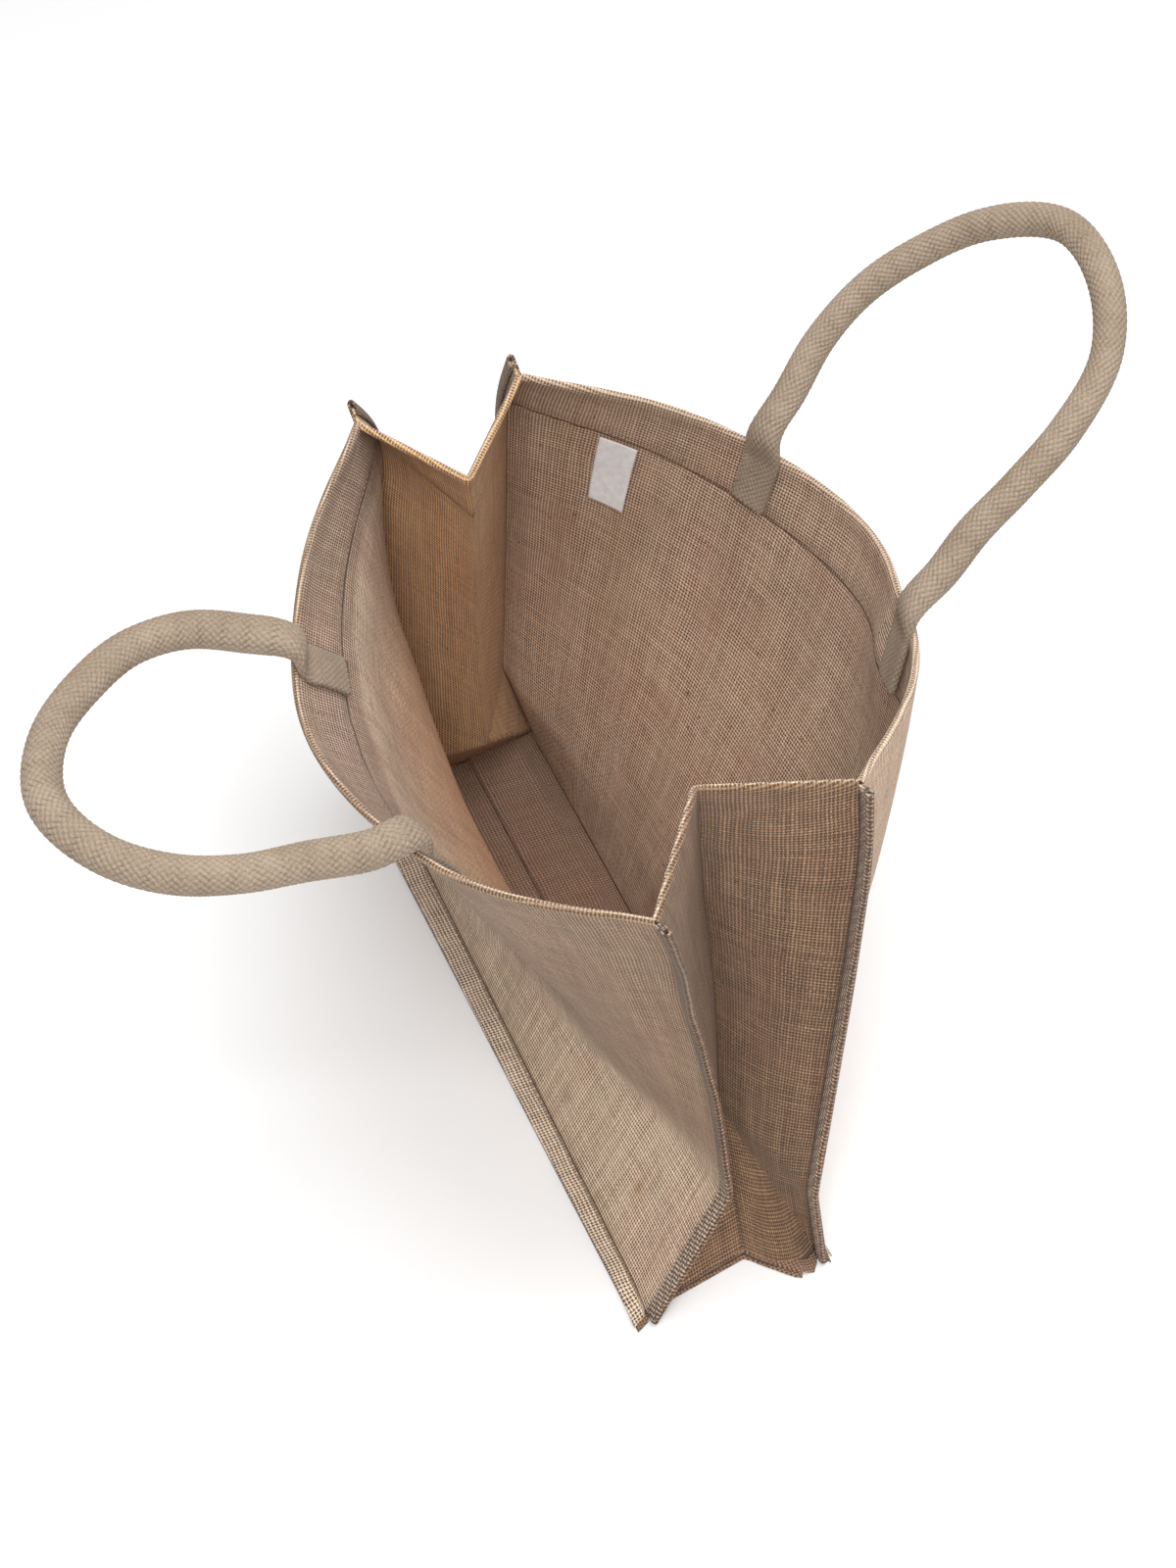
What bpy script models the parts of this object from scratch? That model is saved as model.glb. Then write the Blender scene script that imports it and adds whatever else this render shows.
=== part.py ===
"""An open jute shopping bag: two wide panels, two folded side gussets, a pleated bottom and two rope handles.

Metres, +Z up. The bag stands on the XY plane with the middle of its bottom at the origin.
X runs along the wide panels. The front panel lies towards -Y and the back panel towards +Y.
"""

import math

import bmesh
import bpy
import numpy as np

# ---------------------------------------------------------------- driving sizes

MM = 0.001
CLOTH = 1.2 * MM                # thickness of one layer of jute
GAP = 0.35 * MM                 # air between two layers that touch
LAYER = CLOTH + GAP             # from the middle of one layer to the middle of the next
BOTTOM_DEPTH = 100 * MM         # between the two long seams of the bottom
SEAM_HEIGHT = 0.5 * CLOTH + LAYER   # the walls start on top of the bottom panel
HALF_GUSSET = 71.5 * MM         # cloth of a gusset from its fold to a corner, as cut
FLANGE = 11 * MM                # how far the corner seams stand out
GUSSET_TUCK = 7.5 * MM          # gusset cloth inside a corner seam
WRAP_BACK = 6 * MM              # panel cloth turned back over a corner seam
FOOT_WIDTHS = {"front": (17 * MM, 10 * MM), "back": (12 * MM, 4 * MM)}   # of the long bottom seams, left and right
EAR = 5 * MM                    # how far a corner seam rises to its tip at the rim
HEM_DEPTH = 41 * MM
HEM_RADIUS = 1.4 * MM           # of the turn over the rim
HEM_CLEAR_OF_CORNER = 8 * MM
PLEAT_DEPTH = 31 * MM           # of the fold that takes up the spare bottom cloth
PLEAT_EDGE_Y = 5 * MM
PLEAT_SHORT_OF_END = 12 * MM
TAB_HALF_WIDTH = 11 * MM
TAB_HALF_THICKNESS = 3.5 * MM
TAB_LENGTH = 37 * MM
RISE_OVER_RIM = 12 * MM         # of the handle's middle where it crosses the rim
OVER_INSIDE = 0.85              # where that is inside the rim, as a share of the tab's distance
LOOP_RISE = 16 * MM             # of the plane of its loop over the rim
LABEL_WIDTH = 21 * MM
LABEL_HEIGHT = 50 * MM
LABEL_SHARE = 0.15              # of the back panel's width, from its left corner to the label
LABEL_THICKNESS = 1.0 * MM

LOW_ROWS = 6                    # mesh rows from the seam to the crease
HIGH_ROWS = 11                  # and from the crease to the rim
WAIST = 0.42                    # heights of the two middle sections, as shares of the rim's height
CHEST = 0.70

# Upright profiles in millimetres, a row for each corner, each station along a panel and each gusset's fold.
# Between the seam and the crease a profile is straight, and above the crease it is curved.
#                 seam x, y    crease x, y, z    waist x, y    chest x, y    hem x, y      rim x, y, z
PROFILES = {
    "front_left": (-207, -50,   -206, -46, 70,   -204, -43,    -193, -41,    -180, -43,    -161, -60, 343),
    "front_1":    (-105, -50,   -104, -47, 14,    -98, -45,     -92, -76,     -86, -97,     -77, -122, 331),
    "front_2":      (-2, -50,     -1, -36, 36,      2, -48,       8, -94,      13, -122,     18, -153, 322),
    "front_3":     (101, -50,    100, -17, 60,     98, -43,     106, -83,     114, -108,    121, -124, 322),
    "front_right": (201, -50,    188, -2, 78,     173, -4,      168, -20,     183, -34,     191, -45, 327),
    "back_left":  (-207, 50,    -210, 33, 64,    -213, 38,     -200, 36,     -187, 34,     -168, 33, 337),
    "back_1":     (-105, 50,    -106, 56, 45,    -112, 76,     -113, 98,     -108, 109,    -102, 113, 331),
    "back_2":       (-2, 50,      -3, 57, 45,      -6, 96,      -8, 131,       -8, 148,      -8, 156, 328),
    "back_3":      (101, 50,     102, 56, 45,     100, 91,      97, 123,       94, 135,      90, 140, 331),
    "back_right":  (203, 50,     196, 44, 62,     182, 57,     172, 67,       168, 70,      165, 69, 343),
    "fold_left":  (-200, 0,     -150, 0, 71.5,   -148, -3,     -136, -8,     -124, -12,    -115, -17, 327),
    "fold_right":  (191, 12,     138, 18, 74,     120, 22,      115, 14,      126, 5,       136, -1, 339),
}

# Where a panel stands inwards, in millimetres and degrees: how far along it, how high, half length,
# half width, lean from upright, and how far inwards.
DENTS = {"front": (), "back": ((268, 292, 34, 20, -8, 8),)}

FRONT = ("front_left", "front_1", "front_2", "front_3", "front_right")
BACK = ("back_left", "back_1", "back_2", "back_3", "back_right")

#            corner at front, corner at back, fold, and how far the back half bows out at the floor
GUSSETS = {
    "left":  ("front_left", "back_left", "fold_left", 0 * MM),
    "right": ("front_right", "back_right", "fold_right", 11 * MM),
}

# Handles: shares of the panel's width where the tabs are sewn, half the rope's thickness, the loop's
# tilt above level, and its route as pairs of distance along the rim and out from it, in millimetres.
HANDLES = {
    "front": (0.385, 0.70, 9.2, 6, ((-80, 20), (-91, 42), (-91, 70), (-75, 102), (-49, 130), (-13, 144),
                                    (28, 130), (49, 107), (60, 80), (65, 49), (70, 20))),
    "back": (0.345, 0.70, 8.0, 42, ((-77, 20), (-86, 49), (-87, 83), (-76, 118), (-57, 150), (-18, 177),
                                    (27, 168), (52, 147), (65, 109), (67, 75), (67, 41), (70, 20))),
}

# ---------------------------------------------------------------- small tools


def lerp(a, b, share):
    return a + (b - a) * share


def unit(vectors):
    vectors = np.asarray(vectors, float)
    return vectors / np.linalg.norm(vectors, axis=-1, keepdims=True)


def smooth_curve(knots, points, at):
    """Values at the given places of a smooth curve through points, which lie at the rising knots."""
    knots = np.asarray(knots, float)
    points = np.asarray(points, float)
    step = np.diff(knots)
    rise = np.diff(points, axis=0) / step[:, None]
    slope = np.empty_like(points)
    slope[1:-1] = (rise[:-1] * step[1:, None] + rise[1:] * step[:-1, None]) / (step[:-1] + step[1:])[:, None]
    slope[0] = 1.5 * rise[0] - 0.5 * slope[1]
    slope[-1] = 1.5 * rise[-1] - 0.5 * slope[-2]
    at = np.clip(np.asarray(at, float), knots[0], knots[-1])
    i = np.clip(np.searchsorted(knots, at, side="right") - 1, 0, len(step) - 1)
    t = ((at - knots[i]) / step[i])[:, None]
    h = step[i][:, None]
    return (
        points[i] * (1 + 2 * t) * (1 - t) ** 2
        + points[i + 1] * t * t * (3 - 2 * t)
        + slope[i] * h * t * (1 - t) ** 2
        - slope[i + 1] * h * t * t * (1 - t)
    )


def material(name, colour, roughness):
    made = bpy.data.materials.new(name)
    made.use_nodes = True
    shader = made.node_tree.nodes["Principled BSDF"]
    shader.inputs["Base Color"].default_value = (*colour, 1.0)
    shader.inputs["Roughness"].default_value = roughness
    shader.inputs["Metallic"].default_value = 0.0
    return made


def add_object(name, vertices, faces, finish):
    mesh = bpy.data.meshes.new(name)
    mesh.from_pydata([tuple(map(float, v)) for v in vertices], [], faces)
    mesh.materials.append(finish)
    mesh.shade_smooth()
    made = bpy.data.objects.new(name, mesh)
    bpy.context.scene.collection.objects.link(made)
    return made


def add_sheet(name, grid, present, finish, thickness=CLOTH):
    """A sheet of cloth on a grid of points; present says which of its cells hold cloth."""
    rows, columns = grid.shape[:2]
    used = np.zeros((rows, columns), bool)
    cells = [(i, j) for i in range(rows - 1) for j in range(columns - 1) if present[i, j]]
    for i, j in cells:
        used[i:i + 2, j:j + 2] = True
    number = np.cumsum(used).reshape(rows, columns) - 1
    faces = [
        (int(number[i, j]), int(number[i, j + 1]), int(number[i + 1, j + 1]), int(number[i + 1, j]))
        for i, j in cells
    ]
    made = add_object(name, grid[used], faces, finish)
    made.data.set_sharp_from_angle(angle=math.radians(50))
    solid = made.modifiers.new("cloth thickness", "SOLIDIFY")
    solid.thickness = thickness
    solid.offset = 0.0
    return made


# ---------------------------------------------------------------- walls


def profile(name):
    """The points of one upright profile, from the seam to the rim."""
    (seam_x, seam_y, crease_x, crease_y, crease_z, waist_x, waist_y, chest_x, chest_y,
     hem_x, hem_y, rim_x, rim_y, rim_z) = (MM * value for value in PROFILES[name])
    seam = np.array([seam_x, seam_y, SEAM_HEIGHT])
    crease = np.array([crease_x, crease_y, crease_z])
    upper = np.array([
        crease,
        [waist_x, waist_y, WAIST * rim_z],
        [chest_x, chest_y, CHEST * rim_z],
        [hem_x, hem_y, rim_z - 35 * MM],
        [rim_x, rim_y, rim_z],
    ])
    low = [lerp(seam, crease, row / LOW_ROWS) for row in range(LOW_ROWS)]
    heights = np.linspace(crease_z, rim_z, HIGH_ROWS + 1)
    return np.vstack([low, smooth_curve(upper[:, 2], upper, heights)])


def panel_surface(stations, columns):
    """The middle surface of a panel: a grid with a row for each level and a column for each share."""
    profiles = np.stack([profile(name) for name in stations], axis=1)
    knots = np.linspace(0, 1, len(stations))
    grid = np.stack([smooth_curve(knots, level, columns) for level in profiles])
    side = stations[0].split("_")[0]
    along = np.asarray(columns) * 2 * PROFILES[stations[-1]][0]
    for place, height, half_length, half_width, lean, amount in DENTS[side]:
        turn = math.radians(lean)
        x, z = along - place, grid[..., 2] / MM - height
        across = (x * math.cos(turn) - z * math.sin(turn)) / half_width
        down = (x * math.sin(turn) + z * math.cos(turn)) / half_length
        inwards = amount * MM * np.exp(-across**2 - down**2)
        grid[..., 1] += inwards if side == "front" else -inwards
    return grid


def gusset_surface(side, columns):
    """The middle surface of a gusset. A column's share runs from -1 at the front corner to 1 at the back."""
    front_name, back_name, fold_name, bow = GUSSETS[side]
    front, back, fold = profile(front_name), profile(back_name), profile(fold_name)
    outward = np.array([math.copysign(1.0, fold[0, 0]), 0, 0])
    rows = []
    for level in range(LOW_ROWS + HIGH_ROWS + 1):
        row = []
        rise = level / LOW_ROWS
        for share in columns:
            corner = front if share < 0 else back
            reach = 1 - rounded(abs(share))
            if rise >= 1:
                point = lerp(corner[level], fold[level], reach)
            else:
                # Below the fold the cloth spreads from two diagonal creases to the whole width of the seam.
                diagonal = lerp(corner[0], fold[LOW_ROWS], rise)
                centre = fold[level]
                if reach <= rise:
                    point = lerp(corner[level], diagonal, reach / max(rise, 1e-9))
                else:
                    along = (reach - rise) / (1 - rise)
                    point = lerp(diagonal, centre, along)
                    if share > 0:
                        point = point + outward * bow * math.sin(math.pi * along) * (1 - rise)
            row.append(point)
        rows.append(row)
    return np.array(rows)


def rounded(distance):
    """Eases a distance from the fold, so that the fold is a narrow round and not an edge."""
    ease = 0.06
    return (math.hypot(distance, ease) - ease) / (math.hypot(1, ease) - ease)


def corner_frame(name):
    """For each level of a corner: its point, the way its seam stands out, and the way to the gusset."""
    points = profile(name)
    outward = np.zeros_like(points)
    outward[:, 0] = 1.0 if name.endswith("right") else -1.0
    along = unit(np.gradient(points, axis=0))
    to_gusset = unit(np.cross(along, outward))
    wanted = 1.0 if name.startswith("front") else -1.0
    to_gusset *= np.sign(to_gusset[:, 1:2]) * wanted
    return points, outward, to_gusset


def raised(strip, distances):
    """Lifts a corner seam towards its tip over its uppermost rows."""
    levels = len(strip)
    for level, share in ((levels - 1, 1.0), (levels - 2, 0.35)):
        for column, distance in enumerate(distances):
            strip[level, column, 2] += EAR * share * max(distance, 0.0) / FLANGE
    return strip


def panel_seam(name):
    """The panel's cloth in a corner seam: out, round the gusset's edge and back, nearest column first."""
    points, outward, to_gusset = corner_frame(name)
    steps = [(0.45 * FLANGE, -LAYER), (FLANGE - LAYER, -LAYER)]
    for angle in (-45, 0, 45, 90):
        turn = math.radians(angle)
        steps.append((FLANGE - LAYER + LAYER * math.cos(turn), LAYER * math.sin(turn)))
    steps.append((FLANGE - WRAP_BACK - LAYER, LAYER))
    strip = np.stack([points + out * outward + side * to_gusset for out, side in steps], axis=1)
    return raised(strip, [out for out, _ in steps])


def gusset_seam(name):
    points, outward, _ = corner_frame(name)
    steps = [0.5 * GUSSET_TUCK, GUSSET_TUCK]
    return raised(np.stack([points + out * outward for out in steps], axis=1), steps)


def inner_normals(grid, inside):
    """Unit normals of a wall's grid that point towards a line up the middle of the bag."""
    normals = unit(np.cross(np.gradient(grid, axis=1), np.gradient(grid, axis=0)))
    towards = inside - grid
    towards[..., 2] = 0
    return normals * np.sign((normals * towards).sum(-1, keepdims=True))


def hem_rows(grid, inside):
    """The rows that turn over the rim and run down inside the wall."""
    normals = inner_normals(grid, inside)
    rim = grid[-1]
    up = unit(grid[-1] - grid[-2])
    turn = [
        rim + normals[-1] * HEM_RADIUS * (1 - math.cos(angle)) + up * HEM_RADIUS * math.sin(angle)
        for angle in (math.pi / 4, math.pi / 2, 3 * math.pi / 4)
    ]
    down = []
    for depth in np.linspace(0, HEM_DEPTH, 5):
        point, normal = at_depth(grid, normals, depth)
        down.append(point + normal * 2 * HEM_RADIUS)
    return np.array(turn + down)


def at_depth(grid, normals, depth):
    """Points and normals of a wall at a distance below its rim, measured down each column."""
    lengths = np.linalg.norm(np.diff(grid[::-1], axis=0), axis=-1)
    below = np.vstack([np.zeros(grid.shape[1]), np.cumsum(lengths, axis=0)])
    points = np.empty_like(grid[0])
    facing = np.empty_like(grid[0])
    for column in range(grid.shape[1]):
        for axis in range(3):
            points[column, axis] = np.interp(depth, below[:, column], grid[::-1, column, axis])
            facing[column, axis] = np.interp(depth, below[:, column], normals[::-1, column, axis])
    return points, unit(facing)


def wall_columns(width, spacing):
    """Shares along a wall: close at its two corners, where the seam and the hem end, then even."""
    near = np.array([0.0, 0.4, 1.0]) * HEM_CLEAR_OF_CORNER / width
    count = int(round((1 - 2 * near[-1]) * width / spacing))
    middle = np.linspace(near[-1], 1 - near[-1], count + 1)
    return np.concatenate([near[:-1], middle, 1 - near[:-1][::-1]])


def foot_edge(seam, share=1.0):
    """The line at a share of the width of a long bottom seam, which lies on the floor."""
    front = seam[0, 1] < 0
    left, right = FOOT_WIDTHS["front" if front else "back"]
    width = np.interp(seam[:, 0], (seam[0, 0], seam[-1, 0]), (left, right))
    line = seam.copy()
    line[:, 1] += share * width * (-1 if front else 1)
    return line


def build_panel(name, stations, finish):
    width = 2 * PROFILES[stations[-1]][0] * MM
    columns = wall_columns(width, 17 * MM)
    grid = panel_surface(stations, columns)
    # The panel's own layer of each corner seam lies beside the gusset's layer.
    for end, station in ((0, stations[0]), (-1, stations[-1])):
        to_gusset = corner_frame(station)[2]
        for column, distance in enumerate(columns if end == 0 else 1 - columns[::-1]):
            share = max(0.0, 1 - distance * width / HEM_CLEAR_OF_CORNER / 2)
            grid[:, column if end == 0 else -1 - column] -= share * LAYER * to_gusset
    hem = hem_rows(grid, np.zeros(3))
    foot = np.stack([foot_edge(grid[0], share) for share in (1.0, 0.5)])
    left, right = panel_seam(stations[0]), panel_seam(stations[-1])
    seam_columns = left.shape[1]
    body = np.concatenate([foot, grid, hem])
    full = np.zeros((len(body), len(columns) + 2 * seam_columns, 3))
    full[:, seam_columns:-seam_columns] = body
    wall = slice(len(foot), len(foot) + len(grid))
    full[wall, :seam_columns] = left[:, ::-1]
    full[wall, -seam_columns:] = right
    present = np.ones((full.shape[0] - 1, full.shape[1] - 1), bool)
    present[:len(foot), :seam_columns] = False
    present[:len(foot), -seam_columns:] = False
    above = len(foot) + len(grid) - 1
    present[above:, :seam_columns + 2] = False
    present[above:, -seam_columns - 2:] = False
    return add_sheet(name, full, present, finish)


def build_gusset(name, side, finish):
    half_columns = np.linspace(0, 1, LOW_ROWS + 1)[1:]
    near = 1 - HEM_CLEAR_OF_CORNER / HALF_GUSSET
    half_columns = np.sort(np.append(half_columns[:-1], [near, 1.0]))
    columns = np.concatenate([-half_columns[::-1], [0.0], half_columns])
    grid = gusset_surface(side, columns)
    inside = np.array([0.0, grid[-1, len(columns) // 2, 1], 0.0])
    hem = hem_rows(grid, inside)
    front, back = gusset_seam(GUSSETS[side][0]), gusset_seam(GUSSETS[side][1])
    seam_columns = front.shape[1]
    body = np.concatenate([grid, hem])
    full = np.zeros((len(body), len(columns) + 2 * seam_columns, 3))
    full[:, seam_columns:-seam_columns] = body
    full[:len(grid), :seam_columns] = front[:, ::-1]
    full[:len(grid), -seam_columns:] = back
    present = np.ones((full.shape[0] - 1, full.shape[1] - 1), bool)
    above = len(grid) - 1
    present[above:, :seam_columns + 1] = False
    present[above:, -seam_columns - 1:] = False
    return add_sheet(name, full, present, finish)


# ---------------------------------------------------------------- bottom


def seam_line(side):
    """The line of a gusset's lower edge on the bottom, as rising Y and its X."""
    edge = gusset_surface(side, np.linspace(-1, 1, 25))[0]
    return edge[:, 1], edge[:, 0]


def build_bottom(finish):
    """Cloth that lies flat, with one knife pleat along its middle where it is drawn together."""
    shares = np.linspace(0, 1, 13)
    half = 0.5 * BOTTOM_DEPTH
    first = 0.5 * CLOTH
    second, third = first + LAYER, first + 2 * LAYER
    far = PLEAT_EDGE_Y + PLEAT_DEPTH
    turn = 0.5 * LAYER
    short = PLEAT_SHORT_OF_END
    #  y, z, how far the cloth stops short of the gussets
    section = [
        (-half, first, 0), (-0.4 * half, first, 0), (PLEAT_EDGE_Y, first, 0),
        (lerp(PLEAT_EDGE_Y, far, 0.25), first, 0), (lerp(PLEAT_EDGE_Y, far, 0.5), first, 0),
        (far - turn, first, 0), (far, first + turn, short),
        (far - turn, second, short), (PLEAT_EDGE_Y + turn, second, short),
        (PLEAT_EDGE_Y, second + turn, short),
        (PLEAT_EDGE_Y + turn, third, short), (lerp(PLEAT_EDGE_Y, far, 0.5), third, short),
        (far + turn, third, short), (far + 6 * turn, first + 0.3 * LAYER, 0.5 * short),
        (far + 9 * turn, first, 0), (half, first, 0),
    ]
    left_y, left_x = seam_line("left")
    right_y, right_x = seam_line("right")
    rows = []
    for y, z, gap in section:
        start = np.interp(y, left_y, left_x) - 0.5 * CLOTH + gap
        end = np.interp(y, right_y, right_x) + 0.5 * CLOTH - gap
        rows.append([(lerp(start, end, share), y, z) for share in shares])
    grid = np.array(rows)
    grid = np.concatenate([foot_edge(grid[0])[None], grid, foot_edge(grid[-1])[None]])
    return add_sheet("bottom_panel", grid, np.ones((len(grid) - 1, len(shares) - 1), bool), finish)


# ---------------------------------------------------------------- handles and label


def wall_place(stations, share, depths, standoff):
    """Points at depths below a panel's rim, at a distance inside its cloth, and the way along the rim."""
    near = panel_surface(stations, [share - 0.01, share, share + 0.01])
    normals = inner_normals(near, np.zeros(3))
    points = []
    for depth in depths:
        point, normal = at_depth(near, normals, depth)
        points.append(point[1] + normal[1] * standoff)
    return points, near[-1, 1], unit(near[-1, 2] - near[-1, 0])


def handle_route(stations, left_share, right_share, tilt, loop):
    """The handle's centre line, from one tab over the rim, out and back to the other."""
    standoff = 2 * HEM_RADIUS + 0.5 * CLOTH + 3 * GAP + TAB_HALF_THICKNESS
    depths = [TAB_LENGTH * share for share in (1.0, 0.7, 0.4, 0.1)]
    left, left_rim, left_along = wall_place(stations, left_share, depths, standoff)
    right, right_rim, right_along = wall_place(stations, right_share, depths, standoff)
    along_rim = unit(right_rim - left_rim)
    outward = unit(np.array([-along_rim[1], along_rim[0], 0.0]))
    if outward[1] * left_rim[1] < 0:
        outward = -outward
    angle = math.radians(tilt)
    reach = outward * math.cos(angle) + np.array([0, 0, math.sin(angle)])
    crossing = 0.5 * (left_rim + right_rim) + np.array([0, 0, LOOP_RISE])
    over = [
        rim - outward * OVER_INSIDE * standoff + np.array([0, 0, RISE_OVER_RIM])
        for rim in (left_rim, right_rim)
    ]
    middle = [crossing + along_rim * s * MM + reach * h * MM for s, h in loop]
    route = np.array(left + [over[0]] + middle + [over[1]] + right[::-1])
    return route, left_along, -right_along


def handle_rings(route, start_wide, end_wide, radius, spacing, sides):
    """Rings of an oval tube: flat where it is a tab and round where it is a rope."""
    lengths = np.concatenate([[0], np.cumsum(np.linalg.norm(np.diff(route, axis=0), axis=1))])
    near = np.arange(0, 2 * TAB_LENGTH, 0.5 * spacing)
    count = int(round((lengths[-1] - 2 * near[-1]) / spacing))
    middle = np.linspace(near[-1], lengths[-1] - near[-1], count + 1)
    at = np.concatenate([near, middle[1:-1], lengths[-1] - near[::-1]])
    centre = smooth_curve(lengths, route, at)
    along = unit(np.gradient(centre, axis=0))
    wide = [start_wide]
    for i in range(1, len(centre)):
        wide.append(unit(wide[-1] - along[i] * (wide[-1] @ along[i])))
    wide = np.array(wide)
    thick = np.cross(along, wide)
    twist = math.atan2(end_wide @ thick[-1], end_wide @ wide[-1]) * at / at[-1]
    turned = wide * np.cos(twist)[:, None] + thick * np.sin(twist)[:, None]
    thick = np.cross(along, turned)
    from_end = np.minimum(at, at[-1] - at)
    rope = np.clip((from_end - 0.8 * TAB_LENGTH) / (0.75 * TAB_LENGTH), 0, 1)
    rope = rope**2 * (3 - 2 * rope)
    half_width = lerp(TAB_HALF_WIDTH, radius, rope)
    half_thick = lerp(TAB_HALF_THICKNESS, radius, rope)
    rings = []
    for i, middle in enumerate(centre):
        for k in range(sides):
            turn = 2 * math.pi * (k + 0.5) / sides
            rings.append(
                middle + turned[i] * half_width[i] * math.cos(turn) + thick[i] * half_thick[i] * math.sin(turn)
            )
    return np.array(rings), len(centre)


def build_handle(name, stations, handle, finish):
    left_share, right_share, half_rope, tilt, loop = HANDLES[handle]
    route, start_wide, end_wide = handle_route(stations, left_share, right_share, tilt, loop)
    sides = 10
    rings, count = handle_rings(route, start_wide, end_wide, half_rope * MM, 12 * MM, sides)
    faces = [
        (i * sides + k, i * sides + (k + 1) % sides, (i + 1) * sides + (k + 1) % sides, (i + 1) * sides + k)
        for i in range(count - 1)
        for k in range(sides)
    ]
    faces.append(tuple(range(sides))[::-1])
    faces.append(tuple((count - 1) * sides + k for k in range(sides)))
    made = add_object(name, rings, faces, finish)
    shape = bmesh.new()
    shape.from_mesh(made.data)
    bmesh.ops.recalc_face_normals(shape, faces=shape.faces)
    shape.to_mesh(made.data)
    shape.free()
    made.data.set_sharp_from_angle(angle=math.radians(50))
    return made


def build_label(finish):
    """A small bare label under the hem, against the inside of the back panel."""
    width = 2 * PROFILES["back_right"][0] * MM
    shares = LABEL_SHARE + np.linspace(-0.5, 0.5, 4) * LABEL_WIDTH / width
    grid = panel_surface(BACK, shares)
    normals = inner_normals(grid, np.zeros(3))
    standoff = 0.5 * CLOTH + GAP + 0.5 * LABEL_THICKNESS
    rows = []
    for depth in np.linspace(HEM_DEPTH + 1.5 * MM, HEM_DEPTH + 1.5 * MM + LABEL_HEIGHT, 5):
        point, normal = at_depth(grid, normals, depth)
        rows.append(point + normal * (standoff + 0.4 * MM))
    grid = np.array(rows)
    return add_sheet("label", grid, np.ones((4, 3), bool), finish, LABEL_THICKNESS)


# ---------------------------------------------------------------- the whole bag


def main():
    for old in list(bpy.data.objects):
        bpy.data.objects.remove(old, do_unlink=True)
    jute = material("jute", (0.50, 0.36, 0.23), 0.92)
    webbing = material("cotton webbing", (0.52, 0.42, 0.29), 0.88)
    white = material("label cloth", (0.82, 0.80, 0.76), 0.8)
    bag = bpy.data.objects.new("bag", None)
    bpy.context.scene.collection.objects.link(bag)
    pieces = [
        build_bottom(jute),
        build_panel("front_panel", FRONT, jute),
        build_panel("back_panel", BACK, jute),
        build_gusset("gusset_left", "left", jute),
        build_gusset("gusset_right", "right", jute),
        build_handle("handle_front", FRONT, "front", webbing),
        build_handle("handle_back", BACK, "back", webbing),
        build_label(white),
    ]
    for piece in pieces:
        piece.parent = bag


main()
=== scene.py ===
"""The looks of an open jute shopping bag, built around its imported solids.

Metres, +Z up. Each cloth piece is a fine sheet in the shape of its solid, each handle a soft woven rope.
"""

import math

import bpy
import numpy as np
from mathutils import Matrix, Vector


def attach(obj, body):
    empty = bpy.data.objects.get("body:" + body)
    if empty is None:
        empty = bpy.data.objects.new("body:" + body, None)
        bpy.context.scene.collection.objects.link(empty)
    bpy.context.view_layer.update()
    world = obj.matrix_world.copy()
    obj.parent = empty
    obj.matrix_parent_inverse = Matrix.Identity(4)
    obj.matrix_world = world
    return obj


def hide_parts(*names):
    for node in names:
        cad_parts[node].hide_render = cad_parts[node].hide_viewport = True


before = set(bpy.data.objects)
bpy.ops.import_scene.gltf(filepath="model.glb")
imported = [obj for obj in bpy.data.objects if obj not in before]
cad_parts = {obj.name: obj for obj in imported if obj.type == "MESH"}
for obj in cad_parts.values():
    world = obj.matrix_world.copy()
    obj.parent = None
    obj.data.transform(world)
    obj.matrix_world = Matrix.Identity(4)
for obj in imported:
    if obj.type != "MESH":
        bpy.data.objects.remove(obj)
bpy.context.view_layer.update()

# ------------ sizes, nearly all those of the solids

MM = 0.001
CLOTH = 1.2 * MM  # thickness of the jute
GAP = 0.35 * MM  # between two layers of it
LAYER = CLOTH + GAP
BOTTOM_DEPTH = 100 * MM  # between the two long bottom seams
SEAM_HEIGHT = 0.5 * CLOTH + LAYER
HALF_GUSSET = 71.5 * MM  # cloth from a gusset's fold to a corner
GUSSET_LOW_EDGE = 0.9 * MM  # of a gusset, over the floor
FLANGE = 11 * MM  # how far the corner seams stand out
GUSSET_TUCK = 7.5 * MM  # gusset cloth inside a corner seam
WRAP_BACK = 6 * MM  # panel cloth turned back over a corner seam
FOOT_WIDTHS = {"front": (17 * MM, 10 * MM), "back": (12 * MM, 4 * MM)}
FOOT_END = 22 * MM  # over which the ends of a long bottom seam reach out to the corner seams
EAR = 5 * MM  # how far a corner seam rises to its tip at the rim
EAR_REACH = 42 * MM
HEM_DEPTH = 41 * MM
HEM_RADIUS = 1.4 * MM  # of the turn over the rim
HEM_CLEAR_OF_CORNER = 0.8 * MM
HEM_LIES_OFF = 1.3 * MM  # the turned-in cloth from the wall's, middle to middle
HEM_EDGE_OFF = 0.1 * MM  # and at its lower edge, which is pressed into the wall
HEM_SETTLES = 13 * MM  # depth at which the turned-in cloth lies so close
HEM_PRESSED = 9 * MM  # height of the part that leans into the wall
HEM_STITCHES_UP = 3 * MM  # from its lower edge
CORNER_STITCHES_OUT = 2.6 * MM
PLEAT_DEPTH = 31 * MM  # of the fold that takes up the spare bottom cloth
PLEAT_EDGE_Y = 5 * MM
PLEAT_SHORT_OF_END = 2.5 * MM
TAB_HALF_WIDTH = 10.7 * MM
TAB_HALF_THICKNESS = 2.3 * MM
TAB_LENGTH = 37 * MM
RISE_OVER_RIM = 11 * MM  # of a handle's middle where it crosses the rim
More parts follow.
